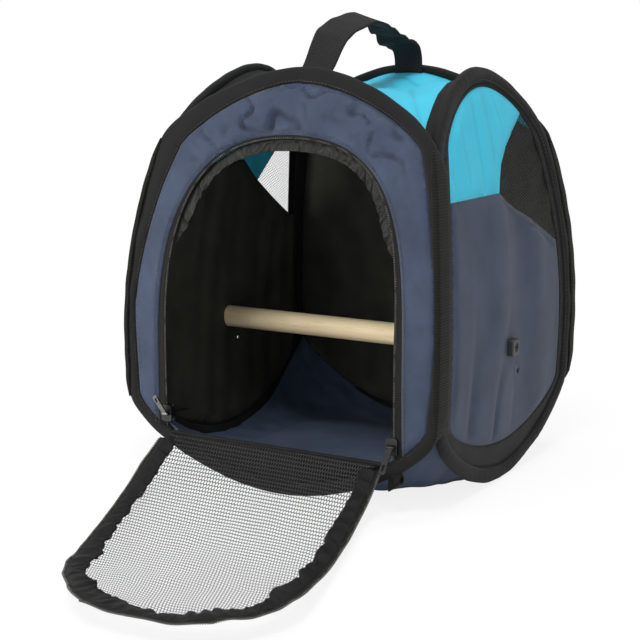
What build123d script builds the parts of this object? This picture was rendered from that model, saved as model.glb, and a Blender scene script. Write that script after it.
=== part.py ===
from build123d import *
from math import asin, atan2, cos, degrees, pi, radians, sin, sqrt
import os

os.makedirs("parts", exist_ok=True)

# ---------------------------------------------------------------- driving sizes
# Lengths in mm. +X is the right side, -Y the door side, +Z up, z = 0 the ground.

# Body: four bowed walls, each an egg-shaped sprung hoop seen face on
height = 320.0            # hoop tops above the ground
half_size = 132.0         # middle of each wall from the centre, at the widest height
widest_z = 112.0
front_lean = 46.0         # front and back hoop tops lean in by this much
side_lean = 33.6          # side hoop tops lean in by this much
base_lean = 5.0           # all four hoop bottoms tuck in by this much
join_top_z = 262.0        # neighbouring hoops part company above here
join_base_z = 66.0        # and below here

# Hoop sleeves: padded black binding round a sprung steel strip
sleeve_thick = 7.0
front_sleeve_side = 10.0   # sleeve widths across the wall
side_sleeve_side = 12.0
strip_width = 3.2          # flat steel strip that each hoop is sprung by
strip_thick = 1.2
sewn_gap = 0.05           # between pieces that are sewn together at a butt joint
sleeve_gap = 0.25         # between the cloth and the sleeves round it

# Cloth
cloth = 1.2               # outer fabric, seam allowance included
lining_thick = 1.0
tape_thick = 1.2
corner_tape_front = 7.0   # ribbed corner tape, width on the front face
corner_tape_side = 20.0   # and on the side face
tape_overrun = 6.0        # past the points where the hoops part

# Front opening and its zip
sill_z = 37.0             # bottom of the opening
arch_half = 98.0          # half width at the zip chain's inner edge
arch_straight_z = 130.0   # the arch starts above here
arch_top_z = 266.0
chain_width = 4.0         # one side of the zip chain
chain_thick = 2.6
zip_tape_width = 6.0
lip_width = 11.0          # loose inner edge round the arch
lip_base_z = 190.0

# Side panels
panel_half = 107.0        # coloured part of a side panel, half width
panel_top_z = 305.0
panel_base_z = 31.0
blue_base_z = 225.0
window_corner = (-4.0, 225.0)
vent_diameter = 4.0
vent_at = (20.0, 83.0)

# Roof and floor
roof_edge_z = 313.0       # roof cloth at the middle of a hoop
roof_flat = 0.37          # share of the rise kept at the roof's middle
floor_edge_z = 6.0
base_half = 84.0          # level part of the floor, half width
base_corner = 40.0
mat_half = 90.0
mat_thick = 3.0
mat_corner = 60.0
mat_z = 2.7

# Perch
perch_diameter = 18.0
perch_z = 105.0
perch_y = 3.0
cap_size = 13.0
cap_thick = 5.0
screw_diameter = 3.5
screw_length = 26.0
screw_head = 7.0

# Handle
handle_width = 25.0
handle_thick = 2.0
handle_rise = 48.0        # crown of the loop above its sewn ends
handle_pivot_z = 326.0
handle_clear = 0.3        # handle end to the sleeve behind it

# Door flap: a mesh panel that hangs from the sill, curved as it falls
door_drop = 15.2          # chord angle below level
door_radius = 250.0
door_chord = 229.0
door_edge_gap = 4.6       # door edge inside the zip chain
door_corner = 8.0         # border and tape stop this far from the hinge, clear of the front hoop
door_cloth = 0.8
door_border_width = 11.0
door_border_thick = 1.8
door_tape_width = 4.0
door_tape_thick = 2.4
hem_diameter = 3.0        # rolled hem that the door turns on
hem_clear = 0.25

# Zip sliders, one on each side of the opening, with a pull inside and outside
slider_z = 51.5
slider_travel = 60.0
slider_length = 13.0
slider_reach_in = 5.8     # from the chain's middle towards the opening
slider_reach_out = 3.5
slider_wall = 1.2
slider_gap = 1.8          # half height of the channel, with room for the bowed chain
slider_flange = 0.6       # turned-in edges beside the chain
neck_clear = 0.4
pin_diameter = 1.2
pin_clear = 0.08
pin_rise = 1.8            # above the slider's plate
lug_thick = 0.8
lug_width = 2.4
lug_clear = 0.2           # each side of the pull
pull_eye = 2.8            # knuckle round the pin
pull_length = 22.0
pull_width = 4.6
pull_thick = 1.2
pull_slot = 6.0
left_outer_turn = 52.0    # where the pulls lie, from square to the wall, upwards
right_outer_turn = -48.0
inner_turn = -8.0

# ------------------------------------------------------------- shared geometry
front_radius = ((height - widest_z) ** 2 + front_lean ** 2) / (2 * front_lean)
side_radius = ((height - widest_z) ** 2 + side_lean ** 2) / (2 * side_lean)
base_radius = (widest_z ** 2 + base_lean ** 2) / (2 * base_lean)
half_sleeve = sleeve_thick / 2
half_cloth = cloth / 2
reach = 200.0             # longer than any outline, for cutting through

front_profile = Plane((0, 0, 0), x_dir=(0, -1, 0), z_dir=(-1, 0, 0))
side_profile = Plane.XZ
front_face = Plane.XZ
side_face = Plane.YZ


def lean_in(z, radius):
    """How far a wall has moved inwards at height z."""
    r = radius if z > widest_z else base_radius
    return r - sqrt(r * r - (z - widest_z) ** 2)


def bowed_wall(plane, radius, inner, outer):
    """Solid between two parallel bowed surfaces, measured outwards from the wall's middle."""
    top_z = height + 20 - widest_z
    low_z = widest_z + 20
    up = (half_size - radius, widest_z)
    down = (half_size - base_radius, widest_z)
    with BuildPart() as wall:
        with BuildSketch(plane):
            with BuildLine():
                ends = []
                for offset in (outer, inner):
                    rise = degrees(asin(top_z / (radius + offset)))
                    fall = degrees(asin(low_z / (base_radius + offset)))
                    upper = CenterArc(up, radius + offset, 0, rise)
                    lower = CenterArc(down, base_radius + offset, -fall, fall)
                    ends.append((lower @ 0, upper @ 1))
                Line(ends[0][0], ends[1][0])
                Line(ends[0][1], ends[1][1])
            make_face()
        extrude(amount=reach, both=True)
    return wall.part


def egg(half, radius, top, bottom):
    """Egg outline: sides follow the neighbouring walls, ends are smooth arches."""
    turn_top = asin((join_top_z - widest_z) / radius)
    turn_base = asin((widest_z - join_base_z) / base_radius)
    top_u = half - radius * (1 - cos(turn_top))
    base_u = half - base_radius * (1 - cos(turn_base))
    lift = 0.36 * (top - join_top_z)
    drop = 0.40 * (join_base_z - bottom)
    with BuildSketch() as outline:
        with BuildLine():
            CenterArc((half - radius, widest_z), radius, 0, degrees(turn_top))
            CenterArc((half - base_radius, widest_z), base_radius, -degrees(turn_base),
                      degrees(turn_base))
            Bezier((top_u, join_top_z),
                   (top_u - lift * sin(turn_top), join_top_z + lift * cos(turn_top)),
                   (0.36 * half, top), (0, top))
            Bezier((base_u, join_base_z),
                   (base_u - drop * sin(turn_base), join_base_z - drop * cos(turn_base)),
                   (0.45 * half, bottom), (0, bottom))
            mirror(about=Plane.YZ)
        make_face()
    return outline.sketch


def arch(grow):
    """Outline of the front opening, grown outwards from the zip chain's inner edge."""
    half = arch_half + grow
    top = arch_top_z + grow
    with BuildSketch() as outline:
        with BuildLine():
            Polyline((0, sill_z), (half, sill_z), (half, arch_straight_z))
            Bezier((half, arch_straight_z), (half, arch_straight_z + 97),
                   (0.73 * half, top), (0, top))
            mirror(about=Plane.YZ)
        make_face()
    return outline.sketch


def draped(corner_z, edge_z, flat, radius_z):
    """Cloth surface hung between four hoop arches, meeting them along their middles."""
    inside = half_size - half_sleeve
    corner_x = inside - lean_in(corner_z, side_radius)
    corner_y = inside - lean_in(corner_z, front_radius)
    pull_x = lean_in(radius_z, side_radius) - lean_in(corner_z, side_radius)
    pull_y = lean_in(radius_z, front_radius) - lean_in(corner_z, front_radius)
    rows = []
    for i in range(9):
        u = (i - 4) / 3.7
        row = []
        for j in range(9):
            v = (j - 4) / 3.7
            arc_u = cos(pi * u / 2)
            arc_v = cos(pi * v / 2)
            rise = arc_u * (flat + (1 - flat) * v * v) + arc_v * (flat + (1 - flat) * u * u)
            row.append(Vector(u * (corner_x - pull_x * arc_v),
                              v * (corner_y - pull_y * arc_u),
                              corner_z + (edge_z - corner_z) * rise))
        rows.append(row)
    return Face.make_surface_from_array_of_points(rows)


def tub():
    """Floor cloth: level in the middle, rising to the hoops and most at the corners."""
    side = half_size - half_sleeve - lean_in(join_base_z, side_radius)
    drop = join_base_z - floor_edge_z
    slack = (join_base_z - half_cloth) / drop - 1
    rows = []
    for i in range(13):
        u = (i - 6) / 5.85
        row = []
        for j in range(13):
            v = (j - 6) / 5.85
            u6 = u ** 6
            v6 = v ** 6
            lift = (slack + u * u) * v6 + (slack + v * v) * u6 - (1 + slack) * u6 * v6
            row.append(Vector(u * side, v * side, half_cloth + drop * lift))
        rows.append(row)
    return Face.make_surface_from_array_of_points(rows)


# The walls' bowed layers
front_cloth_layer = bowed_wall(front_profile, front_radius, -half_cloth, half_cloth)
front_lining_layer = bowed_wall(front_profile, front_radius, -half_cloth - lining_thick, -half_cloth)
front_chain_layer = bowed_wall(front_profile, front_radius, -chain_thick / 2, chain_thick / 2)
front_lip_layer = bowed_wall(front_profile, front_radius, -chain_thick / 2 - 1.1,
                             -chain_thick / 2 - sewn_gap)
front_tape_layer = bowed_wall(front_profile, front_radius, half_sleeve, half_sleeve + tape_thick)
side_cloth_layer = bowed_wall(side_profile, side_radius, -half_cloth, half_cloth)
side_lining_layer = bowed_wall(side_profile, side_radius, -half_cloth - lining_thick, -half_cloth)
side_tape_layer = bowed_wall(side_profile, side_radius, half_sleeve, half_sleeve + tape_thick)
front_sleeve_layer = bowed_wall(front_profile, front_radius, -half_sleeve, half_sleeve)
side_sleeve_layer = bowed_wall(side_profile, side_radius, -half_sleeve, half_sleeve)
front_strip_layer = bowed_wall(front_profile, front_radius, -strip_thick / 2, strip_thick / 2)
side_strip_layer = bowed_wall(side_profile, side_radius, -strip_thick / 2, strip_thick / 2)
beyond_front = bowed_wall(front_profile, front_radius, -half_sleeve - sleeve_gap, 60)
beyond_side = bowed_wall(side_profile, side_radius, -half_sleeve - sleeve_gap, 60)


def inset_egg(on_front, inset):
    """Egg outline of a wall, moved in from the hoop's outer edge."""
    half = half_size + half_sleeve if on_front else half_size - half_sleeve - sleeve_gap
    neighbour = side_radius if on_front else front_radius
    radius = neighbour - half_size + half
    return egg(half - inset, radius - inset, height - inset, inset)


def hoop(on_front, middle, width, layer):
    """Ring of one width round a wall, its middle this far in from the hoop's outer edge."""
    with BuildPart() as ring:
        with BuildSketch(front_face if on_front else side_face):
            add(inset_egg(on_front, middle - width / 2))
            add(inset_egg(on_front, middle + width / 2), mode=Mode.SUBTRACT)
        extrude(amount=reach)
        add(layer, mode=Mode.INTERSECT)
    return ring.part


front_middle = front_sleeve_side / 2
side_middle = side_sleeve_side / 2
front_cloth_outline = inset_egg(True, front_sleeve_side + sleeve_gap)
side_cloth_outline = inset_egg(False, side_sleeve_side + sleeve_gap)
panel_radius = front_radius - (half_size - panel_half)
side_panel_outline = egg(panel_half, panel_radius, panel_top_z, panel_base_z)
side_piece_outline = egg(panel_half - sewn_gap, panel_radius - sewn_gap, panel_top_z - sewn_gap,
                         panel_base_z + sewn_gap)

# ---------------------------------------------------------------- hoops
front_strip = hoop(True, front_middle, strip_width, front_strip_layer)
side_strip = hoop(False, side_middle, strip_width, side_strip_layer)

with BuildPart() as hoop_strips:
    add(front_strip)
    add(side_strip)
    mirror(front_strip, about=Plane.XZ)
    mirror(side_strip, about=Plane.YZ)

with BuildPart() as front_hoop_sleeve:
    add(hoop(True, front_middle, front_sleeve_side, front_sleeve_layer))
    add(front_strip, mode=Mode.SUBTRACT)

with BuildPart() as back_hoop_sleeve:
    mirror(front_hoop_sleeve.part, about=Plane.XZ)

with BuildPart() as right_hoop_sleeve:
    add(hoop(False, side_middle, side_sleeve_side, side_sleeve_layer))
    add(side_strip, mode=Mode.SUBTRACT)

with BuildPart() as left_hoop_sleeve:
    mirror(right_hoop_sleeve.part, about=Plane.YZ)

# ---------------------------------------------------------------- front wall
with BuildPart() as front_panel:
    with BuildSketch(front_face):
        add(front_cloth_outline)
        with Locations((0, sill_z + sewn_gap)):
            Rectangle(2 * reach, height, align=(Align.CENTER, Align.MIN), mode=Mode.INTERSECT)
        add(arch(chain_width + zip_tape_width), mode=Mode.SUBTRACT)
    extrude(amount=reach)
    add(front_cloth_layer, mode=Mode.INTERSECT)

with BuildPart() as front_base_band:
    with BuildSketch(front_face):
        add(front_cloth_outline)
        with Locations((0, sill_z)):
            Rectangle(2 * reach, height, align=(Align.CENTER, Align.MAX), mode=Mode.INTERSECT)
    extrude(amount=reach)
    add(front_cloth_layer, mode=Mode.INTERSECT)

with BuildPart() as front_lining:
    with BuildSketch(front_face):
        add(front_cloth_outline)
        with Locations((0, sill_z + sewn_gap)):
            Rectangle(2 * reach, height, align=(Align.CENTER, Align.MIN), mode=Mode.INTERSECT)
        add(arch(chain_width + 2), mode=Mode.SUBTRACT)
    extrude(amount=reach)
    add(front_lining_layer, mode=Mode.INTERSECT)

with BuildPart() as zip_tape:
    with BuildSketch(front_face):
        add(arch(chain_width + zip_tape_width))
        add(front_cloth_outline, mode=Mode.INTERSECT)
        add(arch(chain_width), mode=Mode.SUBTRACT)
        with Locations((0, sill_z + sewn_gap)):
            Rectangle(2 * reach, height, align=(Align.CENTER, Align.MIN), mode=Mode.INTERSECT)
    extrude(amount=reach)
    add(front_cloth_layer, mode=Mode.INTERSECT)

with BuildPart() as zip_chain:
    with BuildSketch(front_face):
        add(arch(chain_width))
        add(front_cloth_outline, mode=Mode.INTERSECT)
        add(arch(0), mode=Mode.SUBTRACT)
        with Locations((0, sill_z + 1)):
            Rectangle(2 * reach, height, align=(Align.CENTER, Align.MIN), mode=Mode.INTERSECT)
    extrude(amount=reach)
    add(front_chain_layer, mode=Mode.INTERSECT)

with BuildPart() as arch_lip:
    with BuildSketch(front_face):
        add(arch(2))
        add(arch(2 - lip_width), mode=Mode.SUBTRACT)
        with Locations((0, lip_base_z)):
            Rectangle(2 * reach, height, align=(Align.CENTER, Align.MIN), mode=Mode.INTERSECT)
    extrude(amount=reach)
    add(front_lip_layer, mode=Mode.INTERSECT)

# ---------------------------------------------------------------- back wall
with BuildPart() as back_panel:
    with BuildSketch(front_face):
        add(front_cloth_outline)
    extrude(amount=reach)
    add(front_cloth_layer, mode=Mode.INTERSECT)
    mirror(about=Plane.XZ, mode=Mode.REPLACE)

with BuildPart() as back_lining:
    with BuildSketch(front_face):
        add(front_cloth_outline)
    extrude(amount=reach)
    add(front_lining_layer, mode=Mode.INTERSECT)
    mirror(about=Plane.XZ, mode=Mode.REPLACE)

# ---------------------------------------------------------------- side walls
# The blue cloth, the mesh window and the navy cloth meet at one corner
window_u, window_z = window_corner
with BuildSketch() as above_blue_seam:
    with BuildLine():
        blue_edge = Spline(window_corner, (window_u + 11, window_z + 21),
                           (window_u + 45, window_z + 45), (window_u + 92, window_z + 72))
        Polyline(blue_edge @ 1, (window_u + 92, height), (-reach, height), (-reach, blue_base_z),
                 window_corner)
    make_face()
with BuildSketch() as above_window_seam:
    with BuildLine():
        window_edge = Spline(window_corner, (window_u + 24, window_z - 13),
                             (window_u + 54, window_z - 24), (window_u + 130, window_z - 58))
        Polyline(window_edge @ 1, (window_u + 130, height), (window_u, height), window_corner)
    make_face()

with BuildPart() as right_side_band:
    with BuildSketch(side_face):
        add(side_cloth_outline)
        add(side_panel_outline, mode=Mode.SUBTRACT)
    extrude(amount=reach)
    add(side_cloth_layer, mode=Mode.INTERSECT)

with BuildPart() as right_blue_panel:
    with BuildSketch(side_face):
        add(side_piece_outline)
        add(above_blue_seam.sketch, mode=Mode.INTERSECT)
    extrude(amount=reach)
    add(side_cloth_layer, mode=Mode.INTERSECT)

with BuildPart() as right_mesh_window:
    with BuildSketch(side_face):
        add(side_piece_outline)
        add(above_window_seam.sketch, mode=Mode.INTERSECT)
        add(above_blue_seam.sketch, mode=Mode.SUBTRACT)
    extrude(amount=reach)
    add(side_cloth_layer, mode=Mode.INTERSECT)

with BuildPart() as right_navy_panel:
    with BuildSketch(side_face):
        add(side_piece_outline)
        add(above_window_seam.sketch, mode=Mode.SUBTRACT)
        add(above_blue_seam.sketch, mode=Mode.SUBTRACT)
        with Locations(vent_at):
            Circle(vent_diameter / 2, mode=Mode.SUBTRACT)
        with Locations((perch_y, perch_z)):
            Circle(screw_diameter / 2, mode=Mode.SUBTRACT)
    extrude(amount=reach)
    add(side_cloth_layer, mode=Mode.INTERSECT)

with BuildPart() as right_lining:
    with BuildSketch(side_face):
        add(side_cloth_outline)
        add(above_window_seam.sketch, mode=Mode.SUBTRACT)
        add(above_blue_seam.sketch, mode=Mode.SUBTRACT)
        with Locations(vent_at):
            Circle(vent_diameter / 2, mode=Mode.SUBTRACT)
        with Locations((perch_y, perch_z)):
            Circle(screw_diameter / 2, mode=Mode.SUBTRACT)
    extrude(amount=reach)
    add(side_lining_layer, mode=Mode.INTERSECT)

# The left wall is the right one mirrored
with BuildPart() as left_side_band:
    mirror(right_side_band.part, about=Plane.YZ)
with BuildPart() as left_blue_panel:
    mirror(right_blue_panel.part, about=Plane.YZ)
with BuildPart() as left_mesh_window:
    mirror(right_mesh_window.part, about=Plane.YZ)
with BuildPart() as left_navy_panel:
    mirror(right_navy_panel.part, about=Plane.YZ)
with BuildPart() as left_lining:
    mirror(right_lining.part, about=Plane.YZ)

# Ribbed tape folded round each upright corner
outer_face = half_size + half_sleeve
tape_out = outer_face + tape_thick
tape_height = join_top_z - join_base_z + 2 * tape_overrun
with BuildPart() as tape_front_leg:
    with BuildSketch(front_face):
        add(egg(tape_out, side_radius + half_sleeve + tape_thick, height + 20, -20))
        add(egg(outer_face - corner_tape_front, side_radius + half_sleeve - corner_tape_front,
                height + 20, -20), mode=Mode.SUBTRACT)
        with Locations((0, join_base_z - tape_overrun)):
            Rectangle(reach, tape_height, align=(Align.MIN, Align.MIN), mode=Mode.INTERSECT)
    extrude(amount=reach)
    add(front_tape_layer, mode=Mode.INTERSECT)

with BuildPart() as tape_side_leg:
    with BuildSketch(side_face):
        add(egg(tape_out - tape_thick, front_radius + half_sleeve, height + 20, -20))
        add(egg(outer_face - corner_tape_side, front_radius + half_sleeve - corner_tape_side,
                height + 20, -20), mode=Mode.SUBTRACT)
        with Locations((0, join_base_z - tape_overrun)):
            Rectangle(reach, tape_height, align=(Align.MAX, Align.MIN), mode=Mode.INTERSECT)
    extrude(amount=reach)
    add(side_tape_layer, mode=Mode.INTERSECT)

with BuildPart() as corner_tapes:
    add(tape_front_leg.part)
    add(tape_side_leg.part)
    mirror(about=Plane.XZ)
    mirror(about=Plane.YZ)

# ---------------------------------------------------------------- roof and floor
with BuildPart() as roof:
    thicken(draped(join_top_z, roof_edge_z, roof_flat, height - 7), amount=half_cloth, both=True)
    for layer in (beyond_front, mirror(beyond_front, about=Plane.XZ, mode=Mode.PRIVATE),
                  beyond_side, mirror(beyond_side, about=Plane.YZ, mode=Mode.PRIVATE)):
        add(layer, mode=Mode.SUBTRACT)

with BuildPart() as floor_cloth:
    with BuildSketch():
        RectangleRounded(2 * base_half, 2 * base_half, base_corner)
    extrude(amount=cloth)
    thicken(tub(), amount=half_cloth, both=True)
    for layer in (beyond_front, mirror(beyond_front, about=Plane.XZ, mode=Mode.PRIVATE),
                  beyond_side, mirror(beyond_side, about=Plane.YZ, mode=Mode.PRIVATE)):
        add(layer, mode=Mode.SUBTRACT)

with BuildPart() as floor_mat:
    with BuildSketch(Plane.XY.offset(mat_z)):
        RectangleRounded(2 * mat_half, 2 * mat_half, mat_corner)
    extrude(amount=mat_thick)
    chamfer(floor_mat.edges().group_by(Axis.Z)[-1], mat_thick / 2.5)

# ---------------------------------------------------------------- perch
wall_inside = half_size - half_cloth - lining_thick - lean_in(perch_z, side_radius)
wall_outside = half_size + half_cloth - lean_in(perch_z, side_radius)
perch_half = wall_inside - sewn_gap
perch_axis = Plane((0, perch_y, perch_z), x_dir=(0, 1, 0), z_dir=(1, 0, 0))

with BuildPart() as perch:
    with BuildSketch(perch_axis):
        Circle(perch_diameter / 2)
    extrude(amount=perch_half, both=True)
    chamfer(perch.edges(), 1.5)
    with BuildSketch(perch_axis.offset(perch_half)):
        Circle(screw_diameter / 2)
    extrude(amount=-screw_length, mode=Mode.SUBTRACT)
    with BuildSketch(perch_axis.offset(-perch_half)):
        Circle(screw_diameter / 2)
    extrude(amount=screw_length, mode=Mode.SUBTRACT)

with BuildPart() as right_cap:
    with BuildSketch(perch_axis.offset(wall_outside + sewn_gap)):
        RectangleRounded(cap_size, cap_size, 2)
    extrude(amount=cap_thick)
    fillet(right_cap.faces().sort_by(Axis.X)[-1].edges(), 1.2)
    with BuildSketch(perch_axis.offset(wall_outside + cap_thick + sewn_gap)):
        Circle(screw_head / 2 + 0.2)
    extrude(amount=-2.4, mode=Mode.SUBTRACT)
    with BuildSketch(perch_axis.offset(wall_outside)):
        Circle(screw_diameter / 2)
    extrude(amount=cap_thick, mode=Mode.SUBTRACT)

with BuildPart() as right_screw:
    head_at = wall_outside + cap_thick + sewn_gap - 2.4
    with BuildSketch(perch_axis.offset(head_at)):
        Circle(screw_diameter / 2)
    extrude(amount=-(head_at - perch_half) - screw_length + 2)
    with BuildSketch(perch_axis.offset(head_at)):
        Circle(screw_head / 2)
    extrude(amount=2.0)
    with BuildSketch(perch_axis.offset(head_at + 2.0)):
        Rectangle(screw_head - 2, 1)
        Rectangle(1, screw_head - 2)
    extrude(amount=-1.1, mode=Mode.SUBTRACT)

with BuildPart() as perch_caps:
    add(right_cap.part)
    mirror(about=Plane.YZ)

with BuildPart() as perch_screws:
    add(right_screw.part)
    mirror(about=Plane.YZ)

# ---------------------------------------------------------------- handle
handle_y = half_size - half_sleeve - lean_in(height, front_radius) - handle_clear - handle_thick / 2
handle_top = handle_pivot_z + handle_rise - handle_width / 2
with BuildPart() as handle:
    with BuildSketch(Plane.YZ):
        with BuildLine():
            Bezier((-handle_y, handle_pivot_z - handle_width / 2 - 2),
                   (-handle_y, handle_pivot_z + 20), (-handle_y * 0.55, handle_top), (0, handle_top))
            Bezier((handle_y, handle_pivot_z - handle_width / 2 - 2),
                   (handle_y, handle_pivot_z + 20), (handle_y * 0.55, handle_top), (0, handle_top))
        trace(line_width=handle_thick)
    extrude(amount=handle_width / 2, both=True)
    with BuildSketch(front_face):
        with Locations((0, handle_pivot_z)):
            Circle(handle_width / 2)
            Rectangle(handle_width, 2 * handle_rise, align=(Align.CENTER, Align.MIN))
    extrude(amount=reach, both=True, mode=Mode.INTERSECT)

# ---------------------------------------------------------------- door
hinge_y = lean_in(sill_z, front_radius) - half_size - half_cloth - hem_clear - hem_diameter / 2
fall = radians(door_drop)
door_hang = Plane((0, hinge_y, sill_z), x_dir=(1, 0, 0), z_dir=(0, sin(fall), -cos(fall)))
door_section = Plane((0, hinge_y, sill_z), x_dir=(0, -cos(fall), -sin(fall)), z_dir=(1, 0, 0))
bow_depth = door_radius - sqrt(door_radius ** 2 - (door_chord / 2) ** 2)


def door_layer(thick):
    """Curved sheet that a layer of the door is cut from."""
    spread = degrees(asin(door_chord / 2 / door_radius)) + 3
    middle = (door_chord / 2, bow_depth - door_radius)
    with BuildPart() as layer:
        with BuildSketch(door_section):
            with BuildLine():
                outer = CenterArc(middle, door_radius + thick / 2, 90 - spread, 2 * spread)
                inner = CenterArc(middle, door_radius - thick / 2, 90 - spread, 2 * spread)
                Line(outer @ 0, inner @ 0)
                Line(outer @ 1, inner @ 1)
            make_face()
        extrude(amount=reach, both=True)
    return layer.part


def door_outline(inset, start):
    """Outline of the door flap, moved in from its edge and cut square at a distance from its hinge."""
    half = arch_half - door_edge_gap - inset
    side = arch_straight_z - sill_z
    top = door_chord - inset
    with BuildSketch() as outline:
        with BuildLine():
            Polyline((0, start), (half, start), (half, side))
            Bezier((half, side), (half, side + 97), (0.73 * half, top), (0, top))
            mirror(about=Plane.YZ)
        make_face()
    return outline.sketch


with BuildPart() as door_hem:
    with BuildSketch(door_section):
        Circle(hem_diameter / 2)
    extrude(amount=arch_half - door_edge_gap, both=True)

with BuildPart() as door_mesh:
    with BuildSketch(door_hang):
        add(door_outline(door_tape_width + door_border_width + sewn_gap, hem_diameter / 3))
    extrude(amount=reach, both=True)
    add(door_layer(door_cloth), mode=Mode.INTERSECT)
    add(door_hem.part, mode=Mode.SUBTRACT)

with BuildPart() as door_border:
    with BuildSketch(door_hang):
        add(door_outline(door_tape_width, door_corner))
        add(door_outline(door_tape_width + door_border_width, 0), mode=Mode.SUBTRACT)
    extrude(amount=reach, both=True)
    add(door_layer(door_border_thick), mode=Mode.INTERSECT)
    add(door_hem.part, mode=Mode.SUBTRACT)

with BuildPart() as door_zip_tape:
    with BuildSketch(door_hang):
        add(door_outline(0, door_corner))
        add(door_outline(door_tape_width - sewn_gap, 0), mode=Mode.SUBTRACT)
    extrude(amount=reach, both=True)
    add(door_layer(door_tape_thick), mode=Mode.INTERSECT)
    add(door_hem.part, mode=Mode.SUBTRACT)

# ---------------------------------------------------------------- zip sliders
slider_x = arch_half + chain_width / 2
path_foot = lean_in(slider_z, front_radius) - half_size
path_top = lean_in(slider_z + slider_travel, front_radius) - half_size
slider_tilt = atan2(path_top - path_foot, slider_travel)
belly = (path_foot + path_top) / 2 + half_size - lean_in(slider_z + slider_travel / 2, front_radius)
slider_y = path_foot - belly / 2
slider_along = (0, sin(slider_tilt), cos(slider_tilt))
slider_out = (0, -cos(slider_tilt), sin(slider_tilt))
slider_mid = Plane((slider_x, slider_y, slider_z), x_dir=(1, 0, 0), z_dir=slider_out)
slider_wide = slider_reach_in + slider_reach_out
slider_centre = (slider_reach_out - slider_reach_in) / 2
pin_height = slider_gap + slider_wall + pin_rise
lug_inside = pull_width / 2 + lug_clear
across = Plane(slider_mid.origin, x_dir=slider_out, z_dir=(1, 0, 0)).offset(slider_centre)

with BuildPart() as right_slider:
    for side in (1, -1):
        with BuildSketch(slider_mid.offset(side * slider_gap)):
            with Locations((slider_centre, 0)):
                RectangleRounded(slider_wide, slider_length, 2.2)
        extrude(amount=side * slider_wall)
        with BuildSketch(slider_mid.offset(side * (slider_gap - slider_flange))):
            with Locations(((chain_width / 2 + neck_clear + slider_reach_out) / 2, 0)):
                Rectangle(slider_reach_out - chain_width / 2 - neck_clear, slider_length - 5)
        extrude(amount=side * slider_flange)
        with BuildSketch(across.offset(lug_inside), across.offset(-lug_inside - lug_thick)):
            with Locations((side * pin_height, 0)):
                Circle(lug_width / 2)
            with Locations((side * (pin_height - pin_rise / 2 - slider_wall / 4), 0)):
                Rectangle(pin_rise + slider_wall / 2, lug_width)
        extrude(amount=lug_thick)
        with BuildSketch(across):
            with Locations((side * pin_height, 0)):
                Circle(pin_diameter / 2)
        extrude(amount=lug_inside + lug_thick / 2, both=True)
    with BuildSketch(slider_mid.offset(-slider_gap)):
        with Locations(((-slider_reach_in - chain_width / 2 - neck_clear) / 2, slider_length / 5)):
            Rectangle(slider_reach_in - chain_width / 2 - neck_clear, slider_length / 2.5)
    extrude(amount=2 * slider_gap)

with BuildPart() as left_slider:
    mirror(right_slider.part, about=Plane.YZ)


def zip_pull(on_right, outside, turn):
    """Zip pull on a slider's pin, turned upwards from square to the wall."""
    x = slider_x + slider_centre
    way = 1 if outside else -1
    square = Vector(slider_out) * way
    pin_at = Vector(slider_mid.origin) + square * pin_height
    pin_at = Vector(x if on_right else -x, pin_at.Y, pin_at.Z)
    along = square * cos(radians(turn)) + Vector(slider_along) * sin(radians(turn))
    edge_on = Plane(pin_at, x_dir=along, z_dir=(1, 0, 0))
    flat_on = Plane(pin_at, x_dir=along, z_dir=edge_on.y_dir)
    with BuildPart() as pull:
        with BuildSketch(edge_on):
            Circle(pull_eye / 2)
            Rectangle(pull_length, pull_thick, align=(Align.MIN, Align.CENTER))
            Circle(pin_diameter / 2 + pin_clear, mode=Mode.SUBTRACT)
        extrude(amount=pull_width / 2, both=True)
        with BuildSketch(flat_on):
            with Locations((pull_length / 2 - pull_width / 2, 0)):
                SlotOverall(pull_length + pull_width, pull_width)
        extrude(amount=pull_eye, both=True, mode=Mode.INTERSECT)
        with BuildSketch(flat_on):
            with Locations((pull_length - pull_width / 2 - pull_slot / 2, 0)):
                SlotOverall(pull_slot, pull_width / 2.2)
        extrude(amount=pull_eye, both=True, mode=Mode.SUBTRACT)
    return pull.part


with BuildPart() as left_outer_pull:
    add(zip_pull(False, True, left_outer_turn))
with BuildPart() as right_outer_pull:
    add(zip_pull(True, True, right_outer_turn))
with BuildPart() as left_inner_pull:
    add(zip_pull(False, False, inner_turn))
with BuildPart() as right_inner_pull:
    add(zip_pull(True, False, inner_turn))

# ---------------------------------------------------------------- written pieces
nodes = {
    "hoop_strips": hoop_strips,
    "front_hoop_sleeve": front_hoop_sleeve,
    "back_hoop_sleeve": back_hoop_sleeve,
    "right_hoop_sleeve": right_hoop_sleeve,
    "left_hoop_sleeve": left_hoop_sleeve,
    "front_panel": front_panel,
    "front_base_band": front_base_band,
    "front_lining": front_lining,
    "zip_tape": zip_tape,
    "zip_chain": zip_chain,
    "arch_lip": arch_lip,
    "back_panel": back_panel,
    "back_lining": back_lining,
    "right_side_band": right_side_band,
    "right_blue_panel": right_blue_panel,
    "right_mesh_window": right_mesh_window,
    "right_navy_panel": right_navy_panel,
    "right_lining": right_lining,
    "left_side_band": left_side_band,
    "left_blue_panel": left_blue_panel,
    "left_mesh_window": left_mesh_window,
    "left_navy_panel": left_navy_panel,
    "left_lining": left_lining,
    "corner_tapes": corner_tapes,
    "roof": roof,
    "floor_cloth": floor_cloth,
    "floor_mat": floor_mat,
    "perch": perch,
    "perch_caps": perch_caps,
    "perch_screws": perch_screws,
    "handle": handle,
    "door_hem": door_hem,
    "door_mesh": door_mesh,
    "door_border": door_border,
    "door_zip_tape": door_zip_tape,
    "right_slider": right_slider,
    "left_slider": left_slider,
    "left_outer_pull": left_outer_pull,
    "right_outer_pull": right_outer_pull,
    "left_inner_pull": left_inner_pull,
    "right_inner_pull": right_inner_pull,
}
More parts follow.
